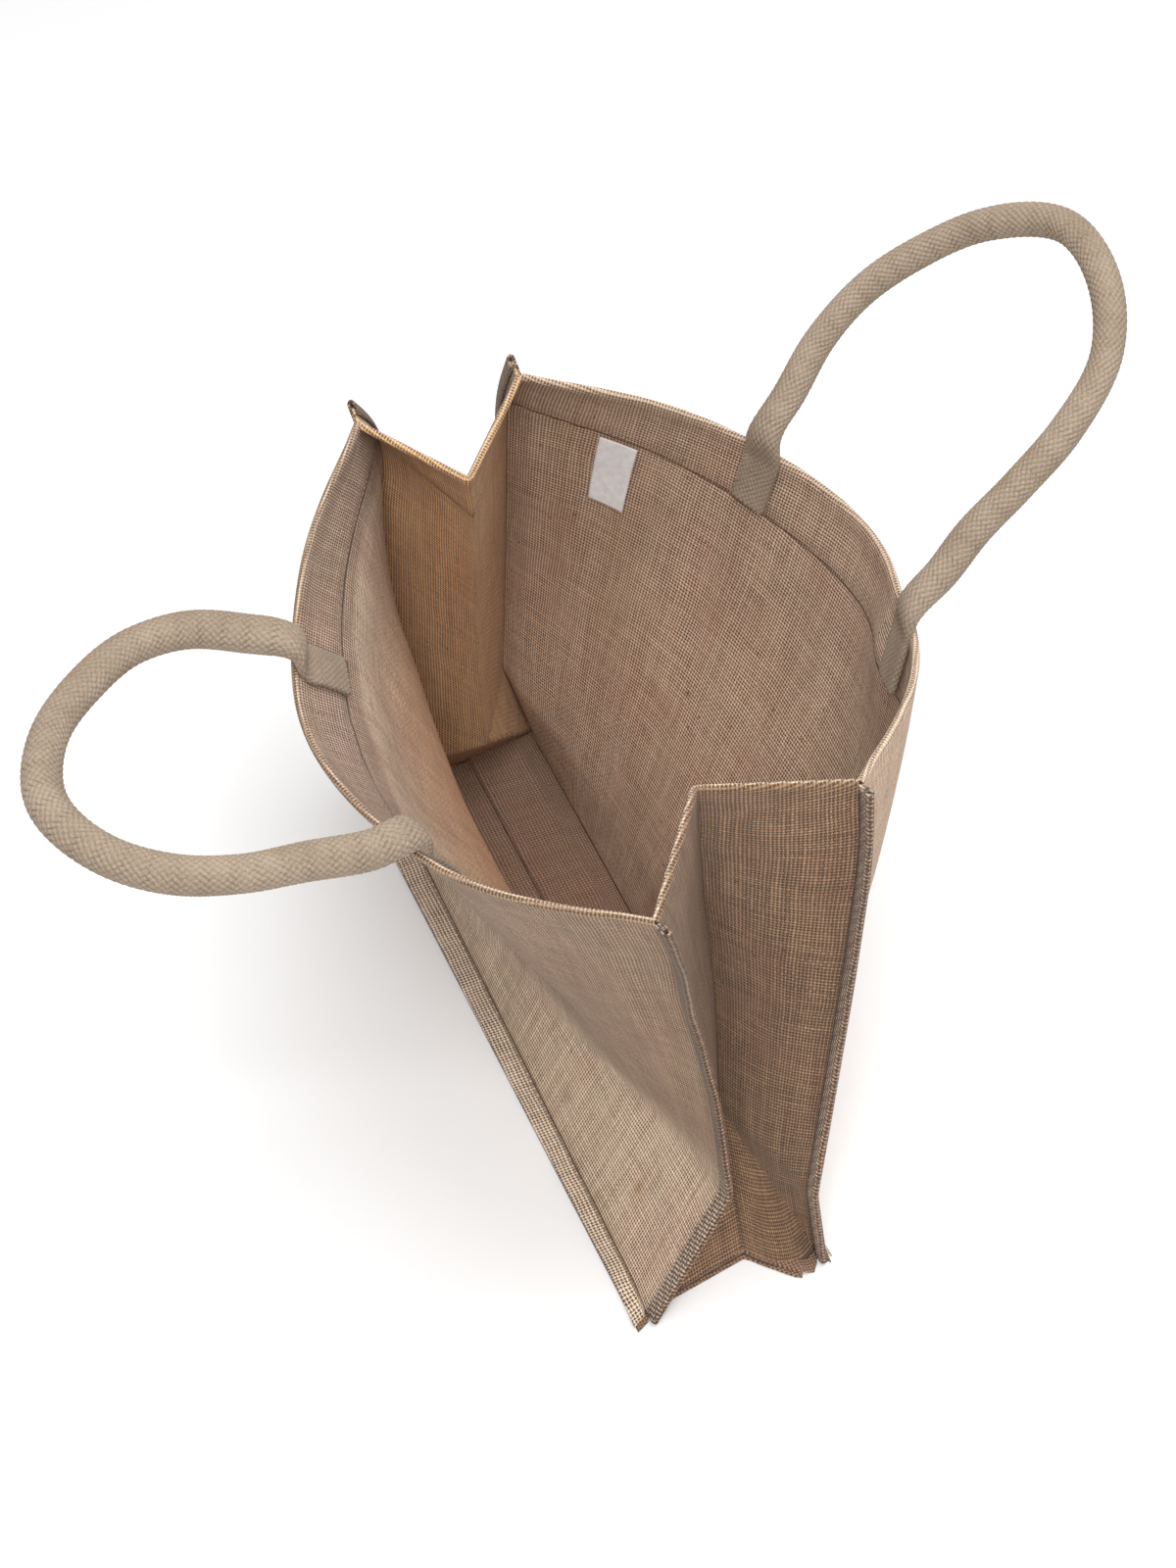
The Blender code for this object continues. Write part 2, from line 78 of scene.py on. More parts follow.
OVER_INSIDE = 0.85  # how far inside the rim, as a share of the tabs' distance from the wall
LOOP_RISE = 16 * MM  # of a loop's flat outline over the rim
ROPE_SIDES = 96
ROPE_STEP = 0.6 * MM
KNOT_AROUND = 16  # diamonds of the braided sleeve round a rope
KNOT_ALONG = 3.8 * MM
LABEL_WIDTH = 21 * MM
LABEL_HEIGHT = 50 * MM
LABEL_SHARE = 0.15  # its place along the back panel
LABEL_TAPE = 0.5 * MM
LABEL_STANDOFF = 0.5 * CLOTH + GAP + 0.9 * MM
LABEL_UNDER_HEM = 1.5 * MM

LOW_ROWS = 24  # rows of a wall below its crease, and above it
HIGH_ROWS = 88
WAIST = 0.42  # shares of the height at which a wall's profile is given
CHEST = 0.70
WARP = 1.79 * MM  # from one upright thread of the jute to the next
WEFT = 2.14 * MM  # and from one level thread to the next

# Each seam's stitches: length, gap and half thickness in mm. The outline of one is in shares of these.
STITCHES = {"corner": (3.2, 1.3, 0.32), "foot": (3.6, 1.6, 0.5), "hem": (2.6, 1.7, 0.2)}
STITCH_OUTLINE = ((0.0, 0.45), (0.2, 0.9), (0.5, 1.0), (0.8, 0.9), (1.0, 0.45))

# The photograph's camera, found from the seams and handles that it shows.
FOCAL_LENGTH_PX = 2874.4
LONGER_SIDE_PX = 1600
CAMERA_PLACE = (0.8944, -0.3775, 1.3421)
CAMERA_FORWARD = (-0.5953, 0.2524, -0.7628)
CAMERA_ROLL = -0.2  # degrees

#                   seam x, y   crease x, y, z  waist x, y  chest x, y  hem x, y    rim x, y, z
PROFILES = {
    "front_left":  (-207, -50,  -206, -46, 70,  -204, -43,  -193, -41,  -180, -43,  -161, -60, 343),
    "front_1":     (-105, -50,  -104, -47, 14,  -98, -45,   -92, -76,   -86, -97,   -77, -122, 331),
    "front_2":     (-2, -50,    -1, -36, 36,    2, -48,     8, -94,     13, -122,   18, -153, 322),
    "front_3":     (101, -50,   100, -17, 60,   98, -43,    106, -83,   114, -108,  121, -124, 322),
    "front_right": (201, -50,   188, -2, 78,    173, -4,    168, -20,   183, -34,   191, -45, 327),
    "back_left":   (-207, 50,   -210, 33, 64,   -213, 38,   -200, 36,   -187, 34,   -168, 33, 337),
    "back_1":      (-105, 50,   -106, 56, 45,   -112, 76,   -113, 98,   -108, 109,  -102, 113, 331),
    "back_2":      (-2, 50,     -3, 57, 45,     -6, 96,     -8, 131,    -8, 148,    -8, 156, 328),
    "back_3":      (101, 50,    102, 56, 45,    100, 91,    97, 123,    94, 135,    90, 140, 331),
    "back_right":  (203, 50,    196, 44, 62,    182, 57,    172, 67,    168, 70,    165, 69, 343),
    "fold_left":   (-200, 0,    -150, 0, 71.5,  -148, -3,   -136, -8,   -124, -12,  -115, -17, 327),
    "fold_right":  (191, 12,    138, 18, 74,    120, 22,    115, 14,    126, 5,     136, -1, 339),
}
FRONT = ("front_left", "front_1", "front_2", "front_3", "front_right")
BACK = ("back_left", "back_1", "back_2", "back_3", "back_right")

# Each gusset's corners and fold, and how far its lower cloth bows outwards.
GUSSETS = {
    "left":  ("front_left", "back_left", "fold_left", 0 * MM),
    "right": ("front_right", "back_right", "fold_right", 11 * MM),
}

# Shares of the rim at which the tabs sit, half thickness in mm, tilt in degrees, and the loop's middle
# line in mm: along the rim from midway between the tabs, and outwards.
HANDLES = {
    "front": (0.385, 0.70, 9.2, 6, ((-80, 20), (-91, 42), (-91, 70), (-75, 102), (-49, 130), (-13, 144),
                                    (28, 130), (49, 107), (60, 80), (65, 49), (70, 20))),
    "back": (0.345, 0.70, 8.0, 42, ((-77, 20), (-86, 49), (-87, 83), (-76, 118), (-57, 150), (-18, 177),
                                    (27, 168), (52, 147), (65, 109), (67, 75), (67, 41), (70, 20))),
}

# Soft troughs (minus) and ridges (plus) of the panels, in millimetres and degrees: how far along the
# panel, how high, half length, half width, lean from upright, and how far the cloth moves outwards.
FOLDS = {
    "front": [
        (330, 215, 70, 13, 14, -1.6), (372, 190, 85, 11, 4, 1.5), (250, 230, 60, 16, -8, 1.2),
        (185, 262, 40, 12, 10, -1.2), (120, 240, 55, 15, -6, 1.0), (60, 180, 70, 14, 0, -1.0),
        (300, 120, 60, 12, 32, -1.0), (215, 90, 60, 10, 60, 0.8),
    ],
    "back": [
        (95, 190, 90, 13, 2, -1.3), (130, 210, 80, 10, -3, 1.2), (170, 170, 90, 14, 3, -1.2),
        (235, 220, 60, 14, -6, 1.0), (300, 180, 80, 16, 6, -1.2), (360, 210, 70, 12, -4, 1.2),
        (210, 110, 60, 12, 40, 0.8), (268, 292, 34, 20, -8, -8.0),
    ],
}

# ------------ small tools


def lerp(a, b, share):
    return a + (b - a) * share


def unit(vectors):
    vectors = np.asarray(vectors, float)
    return vectors / np.linalg.norm(vectors, axis=-1, keepdims=True)


def ease(x):
    x = np.clip(x, 0, 1)
    return x * x * (3 - 2 * x)


def smooth_curve(knots, points, at):
    """Values at the given places of a smooth curve through points, which lie at the rising knots."""
    knots = np.asarray(knots, float)
    points = np.asarray(points, float)
    step = np.diff(knots)
    rise = np.diff(points, axis=0) / step[:, None]
    slope = np.empty_like(points)
    slope[1:-1] = (rise[:-1] * step[1:, None] + rise[1:] * step[:-1, None]) / (step[:-1] + step[1:])[:, None]
    slope[0] = 1.5 * rise[0] - 0.5 * slope[1]
    slope[-1] = 1.5 * rise[-1] - 0.5 * slope[-2]
    at = np.clip(np.asarray(at, float), knots[0], knots[-1])
    i = np.clip(np.searchsorted(knots, at, side="right") - 1, 0, len(step) - 1)
    t = ((at - knots[i]) / step[i])[:, None]
    h = step[i][:, None]
    return (
        points[i] * (1 + 2 * t) * (1 - t) ** 2
        + points[i + 1] * t * t * (3 - 2 * t)
        + slope[i] * h * t * (1 - t) ** 2
        - slope[i + 1] * h * t * t * (1 - t)
    )


def add_mesh(name, vertices, faces, finish, uv=None, zone=None):
    """A piece on the body, with a place in the cloth and a zone for each vertex where they are given."""
    mesh = bpy.data.meshes.new(name)
    mesh.from_pydata(np.asarray(vertices, float).tolist(), [], faces)
    mesh.materials.append(finish)
    mesh.shade_smooth()
    if uv is not None:
        corners = np.empty(len(mesh.loops), int)
        mesh.loops.foreach_get("vertex_index", corners)
        layer = mesh.uv_layers.new(name="cloth")
        layer.data.foreach_set("uv", np.asarray(uv, float)[corners].ravel())
    if zone is not None:
        kept = mesh.attributes.new("zone", "FLOAT_VECTOR", "POINT")
        kept.data.foreach_set("vector", np.asarray(zone, float).ravel())
    made = bpy.data.objects.new(name, mesh)
    bpy.context.scene.collection.objects.link(made)
    return made


def add_sheet(name, grid, present, uv, zone, finish, thickness=CLOTH):
    """A sheet of cloth on a grid of points; present says which of its cells hold cloth."""
    rows, columns = grid.shape[:2]
    used = np.zeros((rows, columns), bool)
    i, j = np.nonzero(present)
    for di in (0, 1):
        for dj in (0, 1):
            used[i + di, j + dj] = True
    number = np.cumsum(used).reshape(rows, columns) - 1
    corners = (number[i, j], number[i, j + 1], number[i + 1, j + 1], number[i + 1, j])
    made = add_mesh(name, grid[used], np.stack(corners, axis=1).tolist(), finish, uv[used], zone[used])
    solid = made.modifiers.new("cloth thickness", "SOLIDIFY")
    solid.thickness = thickness
    solid.offset = 0.0
    return made


# ------------ walls


def profile(name):
    """The points of one upright profile, from the seam to the rim, with its crease rounded."""
    (seam_x, seam_y, crease_x, crease_y, crease_z, waist_x, waist_y, chest_x, chest_y,
     hem_x, hem_y, rim_x, rim_y, rim_z) = (MM * value for value in PROFILES[name])
    seam = np.array([seam_x, seam_y, SEAM_HEIGHT])
    crease = np.array([crease_x, crease_y, crease_z])
    upper = np.array([
        crease,
        [waist_x, waist_y, WAIST * rim_z],
        [chest_x, chest_y, CHEST * rim_z],
        [hem_x, hem_y, rim_z - 35 * MM],
        [rim_x, rim_y, rim_z],
    ])
    low = [lerp(seam, crease, row / LOW_ROWS) for row in range(LOW_ROWS)]
    heights = np.linspace(crease_z, rim_z, HIGH_ROWS + 1)
    points = np.vstack([low, smooth_curve(upper[:, 2], upper, heights)])
    for _ in range(3):
        points[1:-1] = 0.25 * points[:-2] + 0.5 * points[1:-1] + 0.25 * points[2:]
    return points


def relief(side, along, height, width):
    """How far a panel's cloth bulges outwards at a place: its folds and a slow unevenness."""
    moved = 0.35 * MM * (
        np.sin(along / (23 * MM) + 2.0 * np.sin(height / (61 * MM)))
        + np.sin(height / (29 * MM) + 1.3 * np.sin(along / (47 * MM)) + 1.0)
    )
    for u, z, half_length, half_width, lean, amount in FOLDS[side]:
        turn = math.radians(lean)
        x, y = along - u * MM, height - z * MM
        across = (x * math.cos(turn) - y * math.sin(turn)) / (half_width * MM)
        down = (x * math.sin(turn) + y * math.cos(turn)) / (half_length * MM)
        moved = moved + amount * MM * np.exp(-across**2 - down**2)
    near = np.minimum(along, width - along)
    return moved * ease((near - 12 * MM) / (25 * MM)) * ease((height - 12 * MM) / (25 * MM))


def panel_surface(stations, columns):
    """The middle surface of a panel: a grid with a row for each level and a column for each share."""
    side = stations[0].split("_")[0]
    columns = np.asarray(columns, float)
    profiles = np.stack([profile(name) for name in stations], axis=1)
    knots = np.linspace(0, 1, len(stations))
    grid = np.stack([smooth_curve(knots, level, columns) for level in profiles])
    width = 2 * PROFILES[stations[-1]][0] * MM
    outward = -1 if side == "front" else 1
    grid[..., 1] += outward * relief(side, columns[None, :] * width, grid[..., 2], width)
    return grid


def rounded(distance):
    """Eases a distance from the fold, so that the fold is a narrow round and not an edge."""
    soft = 0.06
    return (math.hypot(distance, soft) - soft) / (math.hypot(1, soft) - soft)


def gusset_surface(side, columns):
    """The middle surface of a gusset. A column's share runs from -1 at the front corner to 1 at the back."""
    front_name, back_name, fold_name, bow = GUSSETS[side]
    front, back, fold = profile(front_name), profile(back_name), profile(fold_name)
    outward = np.array([math.copysign(1.0, fold[0, 0]), 0, 0])
    rows = []
    for level in range(LOW_ROWS + HIGH_ROWS + 1):
        row = []
        rise = level / LOW_ROWS
        for share in columns:
            corner = front if share < 0 else back
            reach = 1 - rounded(abs(share))
            if rise >= 1:
                point = lerp(corner[level], fold[level], reach)
            else:
                diagonal = lerp(corner[0], fold[LOW_ROWS], rise)
                centre = fold[level]
                if reach <= rise:
                    point = lerp(corner[level], diagonal, reach / max(rise, 1e-9))
                else:
                    along = (reach - rise) / (1 - rise)
                    point = lerp(diagonal, centre, along)
                    if share > 0:
                        point = point + outward * bow * math.sin(math.pi * along) * (1 - rise)
            row.append(point)
        rows.append(row)
    return np.array(rows)


def corner_frame(name):
    """For each level of a corner: its point, the way its seam stands out, and the way to the gusset."""
    points = profile(name)
    outward = np.zeros_like(points)
    outward[:, 0] = 1.0 if name.endswith("right") else -1.0
    along = unit(np.gradient(points, axis=0))
    to_gusset = unit(np.cross(along, outward))
    wanted = 1.0 if name.startswith("front") else -1.0
    to_gusset *= np.sign(to_gusset[:, 1:2]) * wanted
    return points, outward, to_gusset


def raised(strip, distances):
    """Lifts a corner seam towards its tip at the rim, the more the further out."""
    below = strip[-1:, :, 2] - strip[..., 2]
    share = np.clip(1 - below / EAR_REACH, 0, 1) ** 1.3
    out = np.clip(np.asarray(distances), 0, None) / FLANGE
    strip[..., 2] += EAR * share * out
    return strip


def panel_seam(name):
    """The panel's cloth in a corner seam, round the gusset's edge and back: its points and distances."""
    points, outward, to_gusset = corner_frame(name)
    steps = [(share * (FLANGE - LAYER), -LAYER) for share in (0.25, 0.5, 0.75, 1.0)]
    for angle in (-60, -30, 0, 30, 60, 90):
        turn = math.radians(angle)
        steps.append((FLANGE - LAYER + LAYER * math.cos(turn), LAYER * math.sin(turn)))
    steps += [(FLANGE - LAYER - share * WRAP_BACK, LAYER) for share in (0.5, 1.0)]
    strip = np.stack([points + out * outward + side * to_gusset for out, side in steps], axis=1)
    travelled = np.concatenate([[0.25 * FLANGE], np.hypot(*np.diff(np.array(steps), axis=0).T)]).cumsum()
    return raised(strip, [out for out, _ in steps]), travelled


def gusset_seam(name):
    points, outward, _ = corner_frame(name)
    steps = np.array([0.34, 0.67, 1.0]) * GUSSET_TUCK
    return raised(np.stack([points + out * outward for out in steps], axis=1), steps), steps


def inner_normals(grid, inside):
    """Unit normals of a wall's grid that point towards a line up the middle of the bag."""
    normals = unit(np.cross(np.gradient(grid, axis=1), np.gradient(grid, axis=0)))
    towards = inside - grid
    towards[..., 2] = 0
    return normals * np.sign((normals * towards).sum(-1, keepdims=True))


def at_depth(grid, normals, depth):
    """Points and normals of a wall at a distance below its rim, measured down each column."""
    lengths = np.linalg.norm(np.diff(grid[::-1], axis=0), axis=-1)
    below = np.vstack([np.zeros(grid.shape[1]), np.cumsum(lengths, axis=0)])
    points = np.empty_like(grid[0])
    facing = np.empty_like(grid[0])
    for column in range(grid.shape[1]):
        for axis in range(3):
            points[column, axis] = np.interp(depth, below[:, column], grid[::-1, column, axis])
            facing[column, axis] = np.interp(depth, below[:, column], normals[::-1, column, axis])
    return points, unit(facing)


TURN_ANGLES = np.radians([30, 60, 90, 120, 150])
HEM_STEPS = np.linspace(0, HEM_DEPTH, 15)


def hem_rows(grid, inside):
    """The rows that turn over the rim and run down inside the wall."""
    normals = inner_normals(grid, inside)
    rim = grid[-1]
    up = unit(grid[-1] - grid[-2])
    turn = [
        rim + normals[-1] * HEM_RADIUS * (1 - math.cos(angle)) + up * HEM_RADIUS * math.sin(angle)
        for angle in TURN_ANGLES
    ]
    down = []
    for depth in HEM_STEPS:
        point, normal = at_depth(grid, normals, depth)
        down.append(point + normal * hem_offset(depth))
    return np.array(turn + down)


def hem_offset(depth):
    """How far the turned-in cloth is from the wall: less past the rim, and pressed in at its lower edge."""
    off = lerp(2 * HEM_RADIUS, HEM_LIES_OFF, float(ease(depth / HEM_SETTLES)))
    return lerp(off, HEM_EDGE_OFF, float(ease((depth - HEM_DEPTH + HEM_PRESSED) / HEM_PRESSED)))


def wall_places(grid):
    """For a wall's grid, the distance up each column from the seam, and down from the rim."""
    lengths = np.linalg.norm(np.diff(grid, axis=0), axis=-1)
    up = np.vstack([np.zeros(grid.shape[1]), np.cumsum(lengths, axis=0)])
    return up, up[-1] - up


def hem_places(columns):
    """For the hem's rows, the same two distances past the rim: on along the cloth, and below zero."""
    past = np.concatenate([TURN_ANGLES * HEM_RADIUS, math.pi * HEM_RADIUS + HEM_STEPS])
    return np.repeat(past[:, None], columns, axis=1)


def wall_columns(width, spacing):
    """Shares along a wall: close at its two corners, where the seam and the hem end, then even."""
    near = np.array([0.0, 0.5, 1.0]) * HEM_CLEAR_OF_CORNER / width
    count = int(round((1 - 2 * near[-1]) * width / spacing))
    middle = np.linspace(near[-1], 1 - near[-1], count + 1)
    return np.concatenate([near[:-1], middle, 1 - near[:-1][::-1]])


def foot_edge(seam, share):
    """The line at a share of the width of a long bottom seam, which widens to the corner seams."""
    front = seam[0, 1] < 0
    left, right = FOOT_WIDTHS["front" if front else "back"]
    width = np.interp(seam[:, 0], (seam[0, 0], seam[-1, 0]), (left, right))
    line = seam.copy()
    line[:, 1] += share * width * (-1 if front else 1)
    for end, way in ((0, -1.0), (-1, 1.0)):
        near = ease(1 - np.abs(seam[:, 0] - seam[end, 0]) / FOOT_END)
        line[:, 0] += way * near * FLANGE * (0.35 + 0.45 * share)
    return line


def cloth_grid(body, wall_rows, foot_rows, along, seams, low):
    """Puts a wall, its foot and hem, and its two corner seams on one grid, with places and zones.

    along is each column's distance along the cloth. The hem leaves out the cell next to a corner.
    """
    (left, left_out), (right, right_out) = seams
    extra = len(left_out)
    rows, columns = len(body), body.shape[1] + 2 * extra
    wall = slice(foot_rows, foot_rows + wall_rows)
    grid = np.zeros((rows, columns, 3))
    uv = np.zeros((rows, columns, 2))
    zone = np.zeros((rows, columns, 3))
    grid[:, extra:-extra] = body
    grid[wall, :extra] = left[:, ::-1]
    grid[wall, -extra:] = right
    u = np.concatenate([along[0] - left_out[::-1], along, along[-1] + right_out])
    out = np.minimum(u - along[0], along[-1] - u)
    up, below = wall_places(body[wall])
    past = hem_places(body.shape[1])
    v = np.concatenate([low, up, up[-1] + past])
    rim = np.concatenate([below[0] - low, below, -past])
    pad = ((0, 0), (extra, extra))
    uv[..., 0] = u
    uv[..., 1] = np.pad(v, pad, mode="edge")
    zone[..., 0] = np.pad(rim, pad, mode="edge")
    zone[..., 1] = out
    present = np.ones((rows - 1, columns - 1), bool)
    present[:foot_rows, :extra] = False
    present[:foot_rows, -extra:] = False
    above = foot_rows + wall_rows - 1
    present[above:, :extra + 1] = False
    present[above:, -extra - 1:] = False
    return grid, present, uv, zone


def build_panel(name, stations, finish):
    """A panel: its foot turned out, its hem turned in, and its edges wrapped round the corner seams."""
    width = 2 * PROFILES[stations[-1]][0] * MM
    columns = wall_columns(width, 3 * MM)
    grid = panel_surface(stations, columns)
    for end, station in ((0, stations[0]), (-1, stations[-1])):
        to_gusset = corner_frame(station)[2]
        for column, distance in enumerate(columns if end == 0 else 1 - columns[::-1]):
            share = max(0.0, 1 - distance * width / (16 * MM))
            grid[:, column if end == 0 else -1 - column] -= share * LAYER * to_gusset
    hem = hem_rows(grid, np.zeros(3))
    shares = (1.0, 0.75, 0.5, 0.25)
    foot = np.stack([foot_edge(grid[0], share) for share in shares])
    foot_out = np.stack([-np.linalg.norm(line - grid[0], axis=-1) for line in foot])
    seams = (panel_seam(stations[0]), panel_seam(stations[-1]))
    body = np.concatenate([foot, grid, hem])
    parts = cloth_grid(body, len(grid), len(foot), columns * width, seams, foot_out)
    return add_sheet(name, *parts, finish)


def build_gusset(name, side, finish):
    """A gusset folded inwards, with its hem turned in and its edges inside the corner seams."""
    half = np.linspace(0, 1, 25)[1:-1]
    near = 1 - HEM_CLEAR_OF_CORNER / HALF_GUSSET
    half = np.concatenate([half[half < near - 0.02], [near, 0.5 + 0.5 * near, 1.0]])
    columns = np.concatenate([-half[::-1], [0.0], half])
    grid = gusset_surface(side, columns)
    inside = np.array([0.0, grid[-1, len(columns) // 2, 1], 0.0])
    hem = hem_rows(grid, inside)
    seams = (gusset_seam(GUSSETS[side][0]), gusset_seam(GUSSETS[side][1]))
    body = np.concatenate([grid, hem])
    low = np.zeros((0, body.shape[1]))
    parts = cloth_grid(body, len(grid), 0, columns * HALF_GUSSET, seams, low)
    parts[0][0, :, 2] = GUSSET_LOW_EDGE
    return add_sheet(name, *parts, finish)


# ------------ bottom


def seam_line(side):
    """The line of a gusset's lower edge on the bottom, as rising Y and its X."""
    edge = gusset_surface(side, np.linspace(-1, 1, 25))[0]
    return edge[:, 1], edge[:, 0]


def build_bottom(finish):
    """Cloth that lies flat, with one knife pleat along its middle where it is drawn together."""
    shares = np.linspace(0, 1, 120)
    half = 0.5 * BOTTOM_DEPTH
    first = 0.5 * CLOTH
    second, third = first + LAYER, first + 2 * LAYER
    far = PLEAT_EDGE_Y + PLEAT_DEPTH
    turn = 0.5 * LAYER
    short = PLEAT_SHORT_OF_END
    #  y, z, how far the cloth stops short of the gussets
    corners = [
        (-half, first, 0), (PLEAT_EDGE_Y, first, 0), (far - turn, first, 0), (far, first + turn, short),
        (far - turn, second, short), (PLEAT_EDGE_Y + turn, second, short),
        (PLEAT_EDGE_Y, second + turn, short), (PLEAT_EDGE_Y + turn, third, short),
        (far + turn, third, short), (far + 6 * turn, first + 0.3 * LAYER, 0.5 * short),
        (far + 9 * turn, first, 0), (half, first, 0),
    ]
    section = [corners[0]]
    for a, b in zip(corners, corners[1:]):
        count = max(1, int(round(math.dist(a[:2], b[:2]) / (3 * MM))))
        a, b = np.array(a), np.array(b)
        section += [tuple(a + (b - a) * k / count) for k in range(1, count + 1)]
    left_y, left_x = seam_line("left")
    right_y, right_x = seam_line("right")
    rows = []
    for y, z, gap in section:
        start = np.interp(y, left_y, left_x) - 2.0 * CLOTH + gap
        end = np.interp(y, right_y, right_x) + 2.0 * CLOTH - gap
        # Near the back the bottom bulges out a little under the right gusset.
        end += 7 * MM * float(ease((y - 22 * MM) / (18 * MM)) * ease((half - y) / (6 * MM)))
        rows.append([(lerp(start, end, share), y, z) for share in shares])
    grid = np.array(rows)
    fronts = [foot_edge(grid[0], share) for share in (1.0, 0.75, 0.5, 0.25)]
    backs = [foot_edge(grid[-1], share) for share in (0.25, 0.5, 0.75, 1.0)]
    grid = np.concatenate([fronts, grid, backs])
    run = np.concatenate([[0], np.linalg.norm(np.diff(grid[:, 60], axis=0), axis=-1)]).cumsum()
    uv = np.stack([grid[..., 0], np.repeat(run[:, None], len(shares), axis=1)], axis=-1)
    far_from_edges = np.full(grid.shape, 0.2)
    present = np.ones((len(grid) - 1, len(shares) - 1), bool)
    return add_sheet("bottom", grid, present, uv, far_from_edges, finish)


# ------------ handles and label


def wall_place(stations, share, depths, standoff):
    """Points at depths below a panel's rim, at a distance inside its cloth, and the way along the rim."""
    near = panel_surface(stations, [share - 0.01, share, share + 0.01])
    normals = inner_normals(near, np.zeros(3))
    points = []
    for depth in depths:
        point, normal = at_depth(near, normals, depth)
        points.append(point[1] + normal[1] * standoff)
    return points, near[-1, 1], unit(near[-1, 2] - near[-1, 0])


def handle_route(stations, left_share, right_share, tilt, loop):
    """The handle's centre line from one tab to the other, and the way across each tab."""
    standoff = HEM_LIES_OFF + 0.5 * CLOTH + GAP + TAB_HALF_THICKNESS
    depths = [TAB_LENGTH * share for share in (1.0, 0.7, 0.4, 0.1)]
    left, left_rim, left_along = wall_place(stations, left_share, depths, standoff)
    right, right_rim, right_along = wall_place(stations, right_share, depths, standoff)
    along_rim = unit(right_rim - left_rim)
    outward = unit(np.array([-along_rim[1], along_rim[0], 0.0]))
    if outward[1] * left_rim[1] < 0:
        outward = -outward
    angle = math.radians(tilt)
    reach = outward * math.cos(angle) + np.array([0, 0, math.sin(angle)])
    crossing = 0.5 * (left_rim + right_rim) + np.array([0, 0, LOOP_RISE])
    over = [
        rim - outward * OVER_INSIDE * standoff + np.array([0, 0, RISE_OVER_RIM])
        for rim in (left_rim, right_rim)
    ]
    middle = [crossing + along_rim * s * MM + reach * h * MM for s, h in loop]
    route = np.array(left + [over[0]] + middle + [over[1]] + right[::-1])
    return route, left_along, -right_along


def knots(turns, along):
    """Height of the sleeve's braid, from 0 between its knots to 1: ovals that lean one way and the other."""
    p = turns * KNOT_AROUND + along / KNOT_ALONG
    q = turns * KNOT_AROUND - along / KNOT_ALONG
    x, y = p - np.floor(p) - 0.5, q - np.floor(q) - 0.5
    even = (np.floor(p) + np.floor(q)) % 2 == 0
    long, short = np.where(even, x, y), np.where(even, y, x)
    return np.clip(1 - (long / 0.60) ** 2, 0, 1) ** 0.5 * np.clip(1 - (short / 0.50) ** 2, 0, 1) ** 0.5


def even_oval(sides, half_width, half_thick, square):
    """Evenly spaced points round an oval, which is squarer where square is under 1."""
    angles = np.linspace(0, 2 * math.pi, 241)
    x, y = np.cos(angles), np.sin(angles)
    x = half_width * np.sign(x) * np.abs(x) ** square
    y = half_thick * np.sign(y) * np.abs(y) ** square
    run = np.concatenate([[0], np.hypot(np.diff(x), np.diff(y))]).cumsum()
    at = np.arange(sides) / sides * run[-1]
    return np.stack([np.interp(at, run, x), np.interp(at, run, y)], axis=-1)


def swept_frame(route, start_wide, end_wide):
    """Close points along a route and how far along they are, the way across it and the way through it."""
    lengths = np.concatenate([[0], np.cumsum(np.linalg.norm(np.diff(route, axis=0), axis=1))])
    at = np.linspace(0, lengths[-1], int(round(lengths[-1] / ROPE_STEP)))
    centre = smooth_curve(lengths, route, at)
    along = unit(np.gradient(centre, axis=0))
    wide = [start_wide]
    for way in along[1:]:
        wide.append(unit(wide[-1] - way * (wide[-1] @ way)))
    wide = np.array(wide)
    thick = np.cross(along, wide)
    twist = math.atan2(end_wide @ thick[-1], end_wide @ wide[-1]) * at / at[-1]
    turned = wide * np.cos(twist)[:, None] + thick * np.sin(twist)[:, None]
    return at, centre, turned, np.cross(along, turned)


